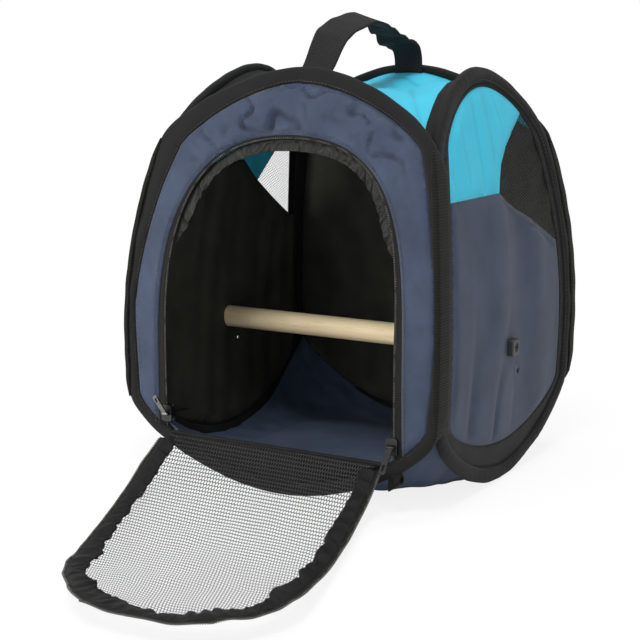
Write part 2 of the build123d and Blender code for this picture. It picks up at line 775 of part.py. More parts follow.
for label, node in nodes.items():
    node.part.label = label
    export_step(node.part, f"parts/{label}.step")
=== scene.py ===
import math
import bmesh
import bpy
import numpy as np
from mathutils import Matrix, Vector
from mathutils.geometry import delaunay_2d_cdt


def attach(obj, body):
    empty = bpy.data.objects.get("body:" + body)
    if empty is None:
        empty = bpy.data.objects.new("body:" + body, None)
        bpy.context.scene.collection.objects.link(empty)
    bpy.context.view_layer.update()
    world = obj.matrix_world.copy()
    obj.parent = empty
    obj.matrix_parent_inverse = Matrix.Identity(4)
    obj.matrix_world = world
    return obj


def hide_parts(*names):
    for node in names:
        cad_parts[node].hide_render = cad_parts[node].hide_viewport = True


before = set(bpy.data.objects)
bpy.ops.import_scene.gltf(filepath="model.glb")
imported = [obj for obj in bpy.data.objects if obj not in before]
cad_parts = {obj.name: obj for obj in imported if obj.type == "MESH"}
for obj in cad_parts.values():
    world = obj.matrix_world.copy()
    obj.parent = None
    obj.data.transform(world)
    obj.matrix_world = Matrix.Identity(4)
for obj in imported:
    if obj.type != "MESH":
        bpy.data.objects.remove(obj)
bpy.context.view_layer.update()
MM = 0.001

# ---- camera
TURN, YAW, DOWN, ROLL = 0.490354, 0.025963, 0.183228, 0.005789
FAR, HIGH, LENS = 1.23222, 0.341987, 85.995


def make_camera():
    """Stands FAR from the carrier's axis, TURN round from its front, looking YAW aside and DOWN."""
    forward = Vector((-math.sin(TURN + YAW), math.cos(TURN + YAW), 0))
    right = Vector((math.cos(TURN + YAW), math.sin(TURN + YAW), 0))
    up = Vector((0, 0, 1))
    look = forward * math.cos(DOWN) - up * math.sin(DOWN)
    top = forward * math.sin(DOWN) + up * math.cos(DOWN)
    side_axis = right * math.cos(ROLL) + top * math.sin(ROLL)
    top_axis = top * math.cos(ROLL) - right * math.sin(ROLL)
    camera = bpy.data.objects.new("camera", bpy.data.cameras.new("camera"))
    bpy.context.scene.collection.objects.link(camera)
    place = Matrix.Translation((math.sin(TURN) * FAR, -math.cos(TURN) * FAR, HIGH))
    camera.matrix_world = place @ Matrix((side_axis, top_axis, -look)).transposed().to_4x4()
    camera.data.sensor_width = 36
    camera.data.lens = LENS
    bpy.context.scene.camera = camera


make_camera()

# ---- the carrier's sizes, in mm
HEIGHT, HALF, WIDEST = 320.0, 132.0, 112.0
FRONT_R = ((HEIGHT - WIDEST) ** 2 + 46.0 ** 2) / 92.0
SIDE_R = ((HEIGHT - WIDEST) ** 2 + 33.6 ** 2) / 67.2
BASE_R = (WIDEST ** 2 + 25.0) / 10.0
JOIN_TOP, JOIN_BASE, SLEEVE = 262.0, 66.0, 7.0
GAP, SIDE_SLEEVE = 0.25, 12.0
SILL, ARCH, ARCH_STRAIGHT, ARCH_TOP = 37.0, 98.0, 130.0, 266.0
PANEL_HALF, PANEL_TOP, PANEL_BASE = 107.0, 305.0, 31.0


# ---- walls and outlines
def floats(*values):
    return np.broadcast_arrays(*(np.asarray(a, float) for a in values))


def wall_radius(which):
    return FRONT_R if which in ("front", "back") else SIDE_R


def lean(z, r):
    """How far a wall has bowed in from its widest line, at a height."""
    r = np.where(z > WIDEST, r, BASE_R)
    return r - np.sqrt(r * r - (z - WIDEST) ** 2)


def tilt(z, r):
    return np.arcsin((z - WIDEST) / np.where(z > WIDEST, r, BASE_R))


def wall(which, u, z, off=0.0):
    """Points on one of the four bowed walls, off mm outside its middle."""
    u, z, off = floats(u, z, off)
    t = tilt(z, wall_radius(which))
    out = HALF - lean(z, wall_radius(which)) + off * np.cos(t)
    x, y = {"front": (u, -out), "back": (u, out), "right": (out, u), "left": (-out, u)}[which]
    return np.stack([x, y, z + off * np.sin(t)], -1)


def wall_normals(which, z):
    t = tilt(z, wall_radius(which))
    out, none = np.cos(t), np.zeros_like(t)
    x, y = {"front": (none, -out), "back": (none, out), "right": (out, none), "left": (-out, none)}[which]
    return np.stack([x, y, np.sin(t)], 1)


def bezier(p, n=60):
    t = np.linspace(0, 1, n)[:, None]
    a, b, c, d = (np.array(q, float) for q in p)
    return (1 - t) ** 3 * a + 3 * (1 - t) ** 2 * t * b + 3 * (1 - t) * t * t * c + t ** 3 * d


def steps_along(line):
    """The distance of each point from the line's start."""
    return np.r_[0, np.cumsum(np.linalg.norm(np.diff(line, axis=0), axis=1))]


def length_of(line):
    return float(steps_along(line)[-1])


def closed(loop):
    return np.vstack([loop, loop[:1]])


def mirrored(line):
    """A line that ends on the middle, with its mirror image after it."""
    return np.vstack([line, (line * [-1, 1])[::-1][1:]])


def spaced(line, n, loop=True):
    """A line's points again, n of them, evenly spaced."""
    p = closed(line) if loop else np.asarray(line, float)
    s = steps_along(p)
    at = np.linspace(0, s[-1], n + 1)[:-1] if loop else np.linspace(0, s[-1], n)
    return np.stack([np.interp(at, s, p[:, k]) for k in range(p.shape[1])], 1)


def egg(half, radius, high, low, n=480):
    """A wall's outline: two arcs on each side, closed by a curve over the top and one under the base."""
    top_turn = math.asin((JOIN_TOP - WIDEST) / radius)
    base_turn = math.asin((WIDEST - JOIN_BASE) / BASE_R)
    top_x = half - radius * (1 - math.cos(top_turn))
    base_x = half - BASE_R * (1 - math.cos(base_turn))
    lift, drop = 0.36 * (high - JOIN_TOP), 0.40 * (JOIN_BASE - low)
    a = np.linspace(-base_turn, 0, 30)
    b = np.linspace(0, top_turn, 60)
    into_base = (base_x - drop * math.sin(base_turn), JOIN_BASE - drop * math.cos(base_turn))
    into_top = (top_x - lift * math.sin(top_turn), JOIN_TOP + lift * math.cos(top_turn))
    line = np.vstack([
        bezier([(0, low), (0.45 * half, low), into_base, (base_x, JOIN_BASE)]),
        np.stack([half - BASE_R + BASE_R * np.cos(a), WIDEST + BASE_R * np.sin(a)], 1)[1:],
        np.stack([half - radius + radius * np.cos(b), WIDEST + radius * np.sin(b)], 1)[1:],
        bezier([(top_x, JOIN_TOP), into_top, (0.36 * half, high), (0, high)])[1:]])
    return spaced(mirrored(line)[:-1], n)


def inset_egg(on_front, inset, n=480):
    half = HALF + SLEEVE / 2 if on_front else HALF - SLEEVE / 2 - GAP
    radius = (SIDE_R if on_front else FRONT_R) - HALF + half
    return egg(half - inset, radius - inset, HEIGHT - inset, inset, n)


def arched(half, high, start, straight):
    """An arched outline on the middle line: upright from its start, over the top and down again."""
    curve = bezier([(half, straight), (half, straight + 97), (0.73 * half, high), (0, high)])
    return mirrored(np.vstack([[(half, start)], curve]))


def arch(grow, n=260):
    """The opening's outline from the right end of the sill, over the top, to the left end."""
    return spaced(arched(ARCH + grow, ARCH_TOP + grow, SILL, ARCH_STRAIGHT), n, loop=False)


def inward(loop):
    """Unit normals of a closed outline, towards its inside."""
    d = np.roll(loop, -1, axis=0) - np.roll(loop, 1, axis=0)
    n = np.stack([-d[:, 1], d[:, 0]], 1)
    n = n / np.linalg.norm(n, axis=1)[:, None]
    return -n if ((loop.mean(0) - loop) * n).sum() < 0 else n


def towards(line, target, side):
    """Turn each side vector of a line to the target's side."""
    return side * np.sign(((target - line) * side).sum(1))[:, None]


def directions(line):
    g = np.gradient(line, axis=0)
    return g / np.linalg.norm(g, axis=1)[:, None]


def ripple(x, y, seed, size, angle=0.0, spread=math.pi, n=9):
    """A smooth uneven field of waves, about -1 to 1, that run mostly at one angle."""
    r = np.random.RandomState(seed)
    f = np.zeros(np.broadcast(x, y).shape)
    for _ in range(n):
        t = angle + (r.rand() - 0.5) * spread
        k = 2 * math.pi / (size * (0.6 + 0.9 * r.rand()))
        f = f + np.sin(k * (x * np.cos(t) + y * np.sin(t)) + r.rand() * 6.283)
    return f / math.sqrt(n)


def creased(x, y, seed, size, angle=0.0, spread=math.pi):
    """Soft cloth with sharp creases: below 0 at a crease, 0.35 between."""
    f = np.abs(ripple(x, y, seed, size, angle, spread))
    return 0.35 - np.exp(-(f / 0.30) ** 2)


# ---- meshes
def inside(points, loop):
    """Which points lie inside a closed outline."""
    x, y = points[:, 0][:, None], points[:, 1][:, None]
    a, b = loop, np.roll(loop, -1, axis=0)
    rise = np.where(b[:, 1] == a[:, 1], 1e-9, b[:, 1] - a[:, 1])
    reach = (b[:, 0] - a[:, 0]) * (y - a[:, 1]) / rise + a[:, 0]
    cross = ((a[:, 1] > y) != (b[:, 1] > y)) & (x < reach)
    return cross.sum(1) % 2 == 1


def between(points, loop, holes):
    keep = inside(points, loop)
    for hole in holes:
        keep &= ~inside(points, hole)
    return keep


def edge_distance(points, loops):
    border = np.vstack(loops)
    d = np.full(len(points), 1e9)
    for i in range(0, len(border), 64):
        d = np.minimum(d, np.linalg.norm(points[:, None] - border[None, i:i + 64], axis=2).min(1))
    return d


def fill(loop, spacing=3.0, holes=()):
    """Fine triangles over an outline: points and faces in its plane."""
    loops = [np.asarray(l, float) for l in (loop, *holes)]
    lo, hi = loops[0].min(0), loops[0].max(0)
    gx, gy = np.meshgrid(np.arange(lo[0], hi[0], spacing), np.arange(lo[1], hi[1], spacing * 0.866))
    gx = gx + (np.arange(gx.shape[0]) % 2 * spacing / 2)[:, None]
    grid = np.stack([gx.ravel(), gy.ravel()], 1)
    grid = grid[between(grid, loops[0], loops[1:])]
    grid = grid[edge_distance(grid, loops) > spacing * 0.55]
    points, edges = [], []
    for l in loops:
        n = len(points)
        points += [Vector(p) for p in l]
        edges += [(n + i, n + (i + 1) % len(l)) for i in range(len(l))]
    points += [Vector(p) for p in grid]
    out = delaunay_2d_cdt(points, edges, [], 0, 1e-6)
    v, f = np.array(out[0]), np.array(out[2])
    return v, f[between(v[f].mean(1), loops[0], loops[1:])].tolist(), loops


def build(name, points, faces, material, uv=None):
    """A mesh object from points in mm."""
    mesh = bpy.data.meshes.new(name)
    mesh.from_pydata((np.asarray(points, float).reshape(-1, 3) * MM).tolist(), [], faces)
    if uv is not None:
        layer = mesh.uv_layers.new(name="mm")
        index = np.empty(len(mesh.loops), np.int32)
        mesh.loops.foreach_get("vertex_index", index)
        layer.data.foreach_set("uv", np.asarray(uv, np.float32)[index].ravel())
    bm = bmesh.new()
    bm.from_mesh(mesh)
    bmesh.ops.recalc_face_normals(bm, faces=bm.faces)
    bm.to_mesh(mesh)
    bm.free()
    mesh.polygons.foreach_set("use_smooth", [True] * len(mesh.polygons))
    mesh.materials.append(material)
    obj = bpy.data.objects.new(name, mesh)
    bpy.context.scene.collection.objects.link(obj)
    return obj


def grid_faces(rows, cols, wrap_rows=False, wrap_cols=False, base=0):
    f = []
    for i in range(rows if wrap_rows else rows - 1):
        for j in range(cols if wrap_cols else cols - 1):
            a, b = base + i * cols, base + (i + 1) % rows * cols
            f.append((a + j, a + (j + 1) % cols, b + (j + 1) % cols, b + j))
    return f


def pair(x, y):
    """Two grids of values as one list of points."""
    x, y = np.broadcast_arrays(x, y)
    return np.stack([x.ravel(), y.ravel()], 1)


def thick(obj, mm, offset=0.0):
    m = obj.modifiers.new("thickness", "SOLIDIFY")
    m.thickness, m.offset = mm * MM, offset


def own(obj, body, node, replaces=True):
    """Let a piece ride on a body, and stand for a node or be trim on it."""
    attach(obj, body)
    if replaces:
        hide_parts(node)


def cloth_piece(obj, body, node, size, replaces=True):
    """Let a sheet of cloth ride on a body, standing for a node or as trim on it. size is its pattern's width,
    length and area in mm; they are worked out here and go no further.
    """
    own(obj, body, node, replaces)
    width, length, area = (float(v) for v in size)
    width = max(width, 10.0)
    area = min(area, width * length)


def pattern(loop, holes=()):
    """A flat pattern's width, length and area. A ring of cloth counts as a strip along its middle."""
    loops = [np.asarray(l, float) for l in (loop, *holes)]
    cross = [l[:, 0] * np.roll(l[:, 1], -1) - l[:, 1] * np.roll(l[:, 0], -1) for l in loops]
    areas = [abs(float(np.sum(c))) / 2 for c in cross]
    area = areas[0] - sum(areas[1:])
    width, length = sorted(np.ptp(loops[0], axis=0))
    if area < 0.45 * width * length:
        length = sum(length_of(closed(l)) for l in loops) / 2
        width = area / length
    return width, length, area


def mean_length(rows):
    return float(np.mean([length_of(row) for row in rows]))


def rows_pattern(rows, length):
    """The same for a grid of cloth with that length, from its rows' mean width."""
    width = mean_length(rows)
    return width, length, width * length


def strip_pattern(line_in, line_out):
    return rows_pattern(np.stack([line_in, line_out], 1), length_of((line_in + line_out) / 2))


# ---- materials
class Nodes:
    """A node tree written briefly."""

    def __init__(self, tree):
        self.tree = tree

    def node(self, kind, **props):
        n = self.tree.nodes.new(kind)
        for k, v in props.items():
            setattr(n, k, v)
        return n

    def put(self, socket, value):
        if isinstance(value, bpy.types.NodeSocket):
            self.tree.links.new(value, socket)
        else:
            socket.default_value = value

    def math(self, op, a, b=0.0, c=0.0):
        n = self.node("ShaderNodeMath", operation=op)
        for s, v in zip(n.inputs, (a, b, c)):
            self.put(s, v)
        return n.outputs[0]

    def seen(self):
        """1 for what the camera sees, straight or through something clear."""
        path = self.node("ShaderNodeLightPath")
        return self.math("MAXIMUM", path.outputs["Is Camera Ray"], path.outputs["Is Transmission Ray"])

    def blend(self, factor, a, b):
        n = self.node("ShaderNodeMixShader")
        for s, v in zip(n.inputs, (factor, a, b)):
            self.put(s, v)
        return n.outputs[0]


class Mat(Nodes):
    """A material of its own node tree."""

    def __init__(self, name):
        self.material = bpy.data.materials.new(name)
        self.material.use_nodes = True
        super().__init__(self.material.node_tree)
        self.shader = self.tree.nodes["Principled BSDF"]

    def mix(self, factor, a, b):
        n = self.node("ShaderNodeMix", data_type="RGBA")
        self.put(n.inputs[0], factor)
        for s, v in zip((n.inputs[6], n.inputs[7]), (a, b)):
            self.put(s, (*v, 1) if isinstance(v, tuple) and len(v) == 3 else v)
        return n.outputs[2]

    def ramp(self, value, low, high):
        n = self.node("ShaderNodeMapRange")
        n.clamp = True
        for s, v in zip(n.inputs, (value, low, high)):
            self.put(s, v)
        return n.outputs[0]

    def uv(self):
        """Lengths along and across the cloth, in mm."""
        x = self.node("ShaderNodeSeparateXYZ")
        self.put(x.inputs[0], self.node("ShaderNodeUVMap", uv_map="mm").outputs[0])
        return x.outputs[0], x.outputs[1]

    def place(self, scale=None):
        """Places in the piece, in metres, or stretched."""
        out = self.node("ShaderNodeTexCoord").outputs["Object"]
        if scale is None:
            return out
        n = self.node("ShaderNodeMapping")
        self.put(n.inputs[0], out)
        n.inputs["Scale"].default_value = scale
        return n.outputs[0]

    def noise(self, scale, detail=3.0, rough=0.5, vector=None):
        n = self.node("ShaderNodeTexNoise")
        self.put(n.inputs["Vector"], self.place() if vector is None else vector)
        self.put(n.inputs["Scale"], scale)
        self.put(n.inputs["Detail"], detail)
        self.put(n.inputs["Roughness"], rough)
        return n.outputs[0]

    def wave(self, value, pitch, phase=0.0):
        """sin of a length in mm with that pitch, from 0 to 1."""
        s = self.math("SINE", self.math("MULTIPLY_ADD", value, 2 * math.pi / pitch, phase))
        return self.math("MULTIPLY_ADD", s, 0.5, 0.5)

    def total(self, *shares):
        """The sum of values times their shares."""
        out = 0.0
        for value, share in shares:
            out = self.math("MULTIPLY_ADD", value, share, out)
        return out

    def bump(self, height, strength, distance, normal=None):
        n = self.node("ShaderNodeBump")
        n.inputs["Strength"].default_value = strength
        n.inputs["Distance"].default_value = distance * MM
        self.put(n.inputs["Height"], height)
        if normal is not None:
            self.put(n.inputs["Normal"], normal)
        return n.outputs[0]

    def finish(self, color, rough, normal=None, **constants):
        self.put(self.shader.inputs["Base Color"], color)
        self.put(self.shader.inputs["Roughness"], rough)
        if normal is not None:
            self.put(self.shader.inputs["Normal"], normal)
        for k, v in constants.items():
            self.shader.inputs[k.replace("_", " ")].default_value = v
        return self.material


def woven(name, color, dark, rough=0.58, sheen=0.03, weave=0.35, blotch=0.5, spec=0.16):
    """Coated plain-weave cloth, with shade painted into its folds."""
    m = Mat(name)
    x, y = m.uv()
    yarn = m.math("MULTIPLY", m.wave(x, 0.75), m.wave(y, 0.75, 1.57))
    fine = m.noise(900, 2, 0.6)
    soft = m.ramp(m.noise(34, 4, 0.6), 0.3, 0.7)
    # the weave's height also tints the colour, lighter on the yarns' crossings and darker between them:
    # painted shade in the weave's hollows; soft and fine add random tone
    col = m.mix(m.ramp(m.total((soft, blotch), (yarn, 0.25), (fine, 0.25)), 0.1, 0.95), dark, color)
    # painted shade: where the mesh bends inward, in its folds and creases, the colour darkens towards 0.4 of
    # the dark tone
    painted_fold_shade = m.ramp(m.node("ShaderNodeNewGeometry").outputs["Pointiness"], 0.5, 0.44)
    col = m.mix(m.math("MULTIPLY", painted_fold_shade, 0.8), col, tuple(c * 0.4 for c in dark))
    n = m.bump(m.noise(260, 3, 0.6), 0.12, 0.5, m.bump(yarn, weave, 0.12))
    return m.finish(col, m.math("MULTIPLY_ADD", fine, 0.12, rough - 0.06), n, Sheen_Weight=sheen,
                    Sheen_Roughness=0.5, Specular_IOR_Level=spec)


def ribbed(name, color, dark, rib=1.5, across=0.0, depth=0.35, strength=0.9):
    """Grosgrain or webbing, with ribs square to its length and finer warp ends along it."""
    m = Mat(name)
    x, y = m.uv()
    ribs = m.wave(x, rib)
    ends = m.wave(y, across or rib * 0.8)
    fine = m.noise(1400, 2, 0.7)
    # the ribs and warp ends also tint the colour, darker between them: painted shade in the tape's hollows;
    # the noise adds random tone
    tone = m.total((ribs, 0.45), (ends, 0.15), (m.noise(45, 3, 0.5), 0.4))
    col = m.mix(m.ramp(tone, 0.1, 1.0), dark, color)
    n = m.bump(fine, 0.25, 0.15, m.bump(m.total((ribs, 1.0), (ends, 0.3)), strength, depth))
    return m.finish(col, m.math("MULTIPLY_ADD", fine, 0.1, 0.69), n, Sheen_Weight=0.04,
                    Sheen_Roughness=0.5, Specular_IOR_Level=0.16)


def net_material():
    m = Mat("net_yarn")
    twist = m.wave(m.math("ADD", *m.uv()), 0.35)
    fine = m.noise(1500, 2)
    col = m.mix(m.math("MULTIPLY_ADD", fine, 0.6, 0.2), (0.006, 0.006, 0.006), (0.021, 0.021, 0.020))
    return m.finish(col, 0.5, m.bump(twist, 0.4, 0.1), Specular_IOR_Level=0.4)


def wood_material():
    m = Mat("beech_dowel")
    grain = m.noise(1.0, 6, 0.62, m.place((9, 170, 170)))
    fleck = m.noise(1.0, 3, 0.6, m.place((60, 900, 900)))
    cloudy = m.noise(1.0, 2, 0.5, m.place((10, 30, 30)))
    col = m.mix(m.ramp(grain, 0.35, 0.68), (0.84, 0.63, 0.36), (0.98, 0.82, 0.53))
    col = m.mix(m.math("MULTIPLY", m.ramp(fleck, 0.55, 0.75), 0.45), col, (0.50, 0.33, 0.17))
    col = m.mix(m.math("MULTIPLY", cloudy, 0.25), col, (0.90, 0.76, 0.55))
    n = m.bump(m.math("ADD", grain, fleck), 0.25, 0.15)
    return m.finish(col, m.math("MULTIPLY_ADD", grain, 0.15, 0.42), n, Specular_IOR_Level=0.4)


def metal_material(name, color, rough):
    m = Mat(name)
    scratch = m.noise(1.0, 3, 0.7, m.place((400, 2500, 2500)))
    col = m.mix(m.noise(300, 2), tuple(c * 0.7 for c in color), color)
    rough = m.math("MULTIPLY_ADD", scratch, 0.25, rough - 0.1)
    return m.finish(col, rough, m.bump(scratch, 0.12, 0.05), Metallic=1.0)


def grained(name, dark, color, scale, rough, bump, spec, detail_rough=0.5, sheen=0.0):
    """One fine grain for colour, gloss and bump: coil, moulding or thread."""
    m = Mat(name)
    fine = m.noise(scale, 2, detail_rough)
    return m.finish(m.mix(fine, dark, color), m.math("MULTIPLY_ADD", fine, *rough), m.bump(fine, *bump),
                    Specular_IOR_Level=spec, Sheen_Weight=sheen)


BLACK, BLACK_DARK = (0.0085, 0.0085, 0.0080), (0.003, 0.003, 0.003)
navy_cloth = woven("navy_cloth", (0.049, 0.066, 0.112), (0.024, 0.033, 0.058), rough=0.6, sheen=0.08)
floor_navy = woven("floor_navy", (0.064, 0.087, 0.140), (0.042, 0.057, 0.094), rough=0.65, sheen=0.05)
blue_cloth = woven("blue_cloth", (0.062, 0.52, 0.69), (0.040, 0.43, 0.60), blotch=0.35)
black_cloth = woven("black_cloth", BLACK, BLACK_DARK, rough=0.62, weave=0.5)
lining_cloth = woven("lining_cloth", (0.060, 0.057, 0.045), (0.030, 0.029, 0.022), rough=0.75)
lip_cloth = woven("lip_cloth", (0.0085, 0.0085, 0.006), (0.002, 0.002, 0.0015), 0.5, weave=0.6, blotch=0.8,
                  spec=0.3)
binding = ribbed("binding", (0.0120, 0.0120, 0.0115), BLACK_DARK, rib=0.9, depth=0.12, strength=0.5)
grosgrain = ribbed("grosgrain", (0.0080, 0.0080, 0.0055), (0.002, 0.002, 0.0015), rib=2.1, depth=0.45)
webbing = ribbed("webbing", (0.017, 0.017, 0.017), (0.005, 0.005, 0.005), rib=1.9, across=2.6, depth=0.4)
tape_cloth = ribbed("zip_tape_cloth", (0.014, 0.0135, 0.012), BLACK_DARK, rib=1.1, across=0.9, depth=0.12)
net_yarn = net_material()
coil = grained("zip_coil", (0.020, 0.019, 0.015), (0.085, 0.080, 0.062), 1200, (0.2, 0.28), (0.2, 0.1), 0.6)
wood = wood_material()
# a lighter copy of the pull metal for the left outer pull alone: a painted highlight, as the matching right
# pull is gunmetal
painted_highlight_pull_metal = metal_material("painted_highlight_pull_metal", (0.22, 0.22, 0.21), 0.36)
gunmetal = metal_material("gunmetal", (0.055, 0.055, 0.056), 0.42)
moulding = grained("black_moulding", (0.012, 0.012, 0.013), (0.030, 0.030, 0.032), 1500, (0.15, 0.38),
                   (0.25, 0.08), 0.5, 0.6)
black_thread = grained("black_thread", (0.011, 0.011, 0.0105), (0.022, 0.022, 0.021), 2500, (0.0, 0.7),
                       (0.4, 0.1), 0.5, sheen=0.2)


# ---- rows of stitches and teeth
def tube_faces(base, rings, around):
    """A closed tube's faces, with its two ends."""
    f = grid_faces(rings, around, False, True, base)
    f.append(tuple(range(base, base + around)))
    f.append(tuple(range(base + rings * around - 1, base + (rings - 1) * around - 1, -1)))
    return f


def stitches(name, points, normals, node, pitch=3.2, size=0.55):
    """Thread dashes that follow a line in space, each a small rounded bead sunk at its ends."""
    s = steps_along(points)
    high = [-0.15, 0.25, 0.38, 0.25, -0.15]
    v, f = [], []
    for k in range(int(s[-1] / pitch)):
        at = [(k + 0.15) * pitch + pitch * 0.68 * t for t in (0, 0.2, 0.5, 0.8, 1)]
        p, n = (np.stack([np.interp(at, s, a[:, i]) for i in range(3)], 1) for a in (points, normals))
        along = p[-1] - p[0]
        along = along / max(np.linalg.norm(along), 1e-6)
        f += tube_faces(len(v), 5, 5)
        for q, m, h in zip(p, n, high):
            for w in 2 * math.pi * np.arange(5) / 5:
                side = np.cross(along, m) * 0.5 * size * math.cos(w)
                v.append(q + m * (h * size + 0.5 * size * math.sin(w)) + side)
    own(build(name, v, f, black_thread), "shell", node, replaces=False)


def teeth(name, points, normals, dirs, body, node, replaces=False):
    """A row of coil teeth along a line, each a small arch of nylon."""
    pitch, width, high = 1.7, 1.8, 1.6
    s = steps_along(points)
    section = [(-0.5, -0.32), (-0.5, 0.25), (-0.28, 0.5), (0.28, 0.5), (0.5, 0.25), (0.5, -0.32)]
    v, f = [], []
    for k in range(int(s[-1] / pitch)):
        at = (k + 0.5) * pitch
        p, n, d = (np.array([np.interp(at, s, a[:, i]) for i in range(3)]) for a in (points, normals, dirs))
        along = np.cross(n, d)
        f += tube_faces(len(v), 4, 6)
        for e, h in ((-0.5, 0.82), (-0.15, 1.0), (0.3, 1.0), (0.5, 0.7)):
            v += [p + d * (e * width) + along * (a * pitch * 0.56) + n * (b * high * h) for a, b in section]
    own(build(name, v, f, coil), body, node, replaces)


def tube(name, points, normals, dirs, size, material, body, node, k=10, rough=0.0, seed=0, replaces=False):
    """An oval tube along a line. size is its half height and half width."""
    a = 2 * math.pi * np.arange(k) / k
    s = steps_along(points)[:, None]
    r = 1 + rough * ripple(s + 0 * a, 3 * a[None], seed, 9)
    high = normals[:, None] * (np.sin(a)[None] * size[0] * r)[..., None]
    wide = dirs[:, None] * (np.cos(a)[None] * size[1] * r)[..., None]
    p = (points[:, None] + high + wide).reshape(-1, 3)
    o = build(name, p, grid_faces(len(points), k, False, True), material, pair(s, a[None] * size[1]))
    own(o, body, node, replaces)


# ---- hoop bindings
# how wide the front binding shows, by height: its right half narrows beside the opening, and its left half
# widens above it
RIGHT_WIDTHS = ([0, 40, 74, 100, 133, 161, 212, 262, 300, 320],
                [10.6, 10.6, 9.2, 6.6, 4.4, 4.6, 7.4, 10.6, 13.0, 14.0])
LEFT_WIDTHS = ([0, 40, 74, 100, 138, 186, 232, 262, 290, 320],
               [10.6, 10.6, 11.0, 10.2, 8.4, 12.5, 17.0, 21.5, 18.5, 13.5])


def seen_width(which, line):
    """How wide a hoop's binding shows along its rim."""
    x, z = line.T
    if which in ("right", "left"):
        return np.full_like(z, SIDE_SLEEVE + 0.6)
    width = np.interp(z, *RIGHT_WIDTHS)
    return np.where(x > 0, width, np.interp(z, *LEFT_WIDTHS)) if which == "front" else width


def hoop_binding(which, seed):
    """A hoop's binding: a flat closed tube of cloth, puckered, with its row of stitches."""
    n, k, node = 640, 20, f"{which}_hoop_sleeve"
    rim = inset_egg(which in ("front", "back"), -0.3, n)
    normal = inward(rim)
    width = seen_width(which, rim)[:, None]
    line = rim + normal * width / 2
    a = 2 * math.pi * np.arange(k)[None] / k
    across = np.sign(np.cos(a)) * np.abs(np.cos(a)) ** 0.72
    out = np.sign(np.sin(a)) * np.abs(np.sin(a)) ** 0.8
    pinch = 1 - 0.42 * np.clip((across - 0.15) / 0.85, 0, 1) ** 1.5
    x = np.arange(n)[:, None] * np.linalg.norm(np.roll(line, -1, 0) - line, axis=1).mean()
    y = across * width / 2
    pucker = 0.10 * ripple(x, y * 2.5, seed, 9, 0.0, 0.8) + 0.45 * ripple(x, y, seed + 1, 52, 0.0, 1.2)
    pucker = pucker + 0.35 * creased(x, y, seed + 2, 70, 0.9, 1.2)
    half_thick = SLEEVE / 2 * pinch * (1 + 0.05 * ripple(x, y, seed + 3, 60))
    t = tilt(line[:, 1:], wall_radius(which))
    wide = y * (1 + 0.03 * ripple(x, 0 * x, seed + 4, 25))
    u, z = line[:, :1] + normal[:, :1] * wide, line[:, 1:] + normal[:, 1:] * wide * np.cos(t)
    p = wall(which, u, z, out * half_thick + 0.6 * out * pucker)
    p[..., 2] = np.maximum(p[..., 2], 0.05)
    uv = pair(x, np.arange(k)[None] * 1.3)
    o = build(f"{which}_hoop_binding", p, grid_faces(n, k, True, True), binding, uv)
    own(o, "shell", node)
    w = width / 2 - 1.9
    u, z = (line + normal * np.hstack([w, w * np.cos(t)])).T
    seam = wall(which, u, z, SLEEVE / 2 * 0.62)
    stitches(f"{which}_hoop_stitching", closed(seam), closed(wall_normals(which, z)), node)


for i, which in enumerate(("front", "back", "right", "left")):
    hoop_binding(which, 11 + 7 * i)


# ---- front and back walls
def panel(name, which, loop, node, material, off, shape, spacing=3.0, thickness=0.9, holes=(), fade=9.0):
    """Cloth over an outline of a wall. shape(u, z) gives how far it stands off, in mm."""
    v, f, loops = fill(loop, spacing, holes)
    hold = np.clip(edge_distance(v, loops) / fade, 0, 1)
    hold = hold * hold * (3 - 2 * hold)
    o = build(name, wall(which, *v.T, off + hold * shape(*v.T)), f, material, v)
    thick(o, thickness)
    cloth_piece(o, "shell", node, pattern(loop, holes))


def above(loop, z):
    """The part of a closed outline above a level, from its right end."""
    n = len(loop)
    start = next(i for i in range(n) if loop[i, 1] < z <= loop[(i + 1) % n, 1] and loop[i, 0] > 0)
    loop = np.roll(loop, -start - 1, axis=0)
    return loop[loop[:, 1] >= z]


def wall_outline(which):
    """Where a wall's cloth meets its hoop's binding."""
    rim = inset_egg(True, 0.0)
    return rim + inward(rim) * (seen_width(which, rim)[:, None] - 0.9)


def seam_arch(grow=0.0, n=260):
    """The navy cloth's edge beside the zip: close to it at the top, further out low down."""
    close, wide = arch(3.9 + grow, n), arch(8.6 + grow, n)
    share = np.interp(close[:, 1], [SILL, 120, 190, 250], [1.0, 0.85, 0.55, 0.0])[:, None]
    return close * (1 - share) + wide * share


def ring_under(line, start):
    """The front wall above the sill, with the part under a line cut out."""
    return np.vstack([[(front_ring[0, 0], SILL)], front_ring, line[line[:, 1] > start][::-1]])


def front_shape(u, z):
    high = np.clip((z - 225) / 45, 0, 1) * np.clip((125 - np.abs(u - 10)) / 60, 0.25, 1)
    bent_u, bent_z = u + 7 * ripple(u, z, 10, 34), z + 7 * ripple(u, z, 12, 30)
    base = 0.7 * ripple(u, z, 5, 60) + (0.15 + 0.5 * high) * ripple(u, z, 6, 22)
    folds = 4.6 * creased(bent_u, bent_z, 9, 58, 0.9, 1.5) + 1.3 * creased(bent_z, bent_u, 13, 30, 0.4, 2.0)
    return base + 0.4 * creased(u, z, 8, 64, 0.5, 2.2) + high * (folds + 1.2) + 1.3


def back_shape(u, z):
    return 1.6 * ripple(u, z, 51, 60, 0.2, 1.4) + 0.7 * creased(u, z, 52, 70, 0.3, 1.8) + 1.0


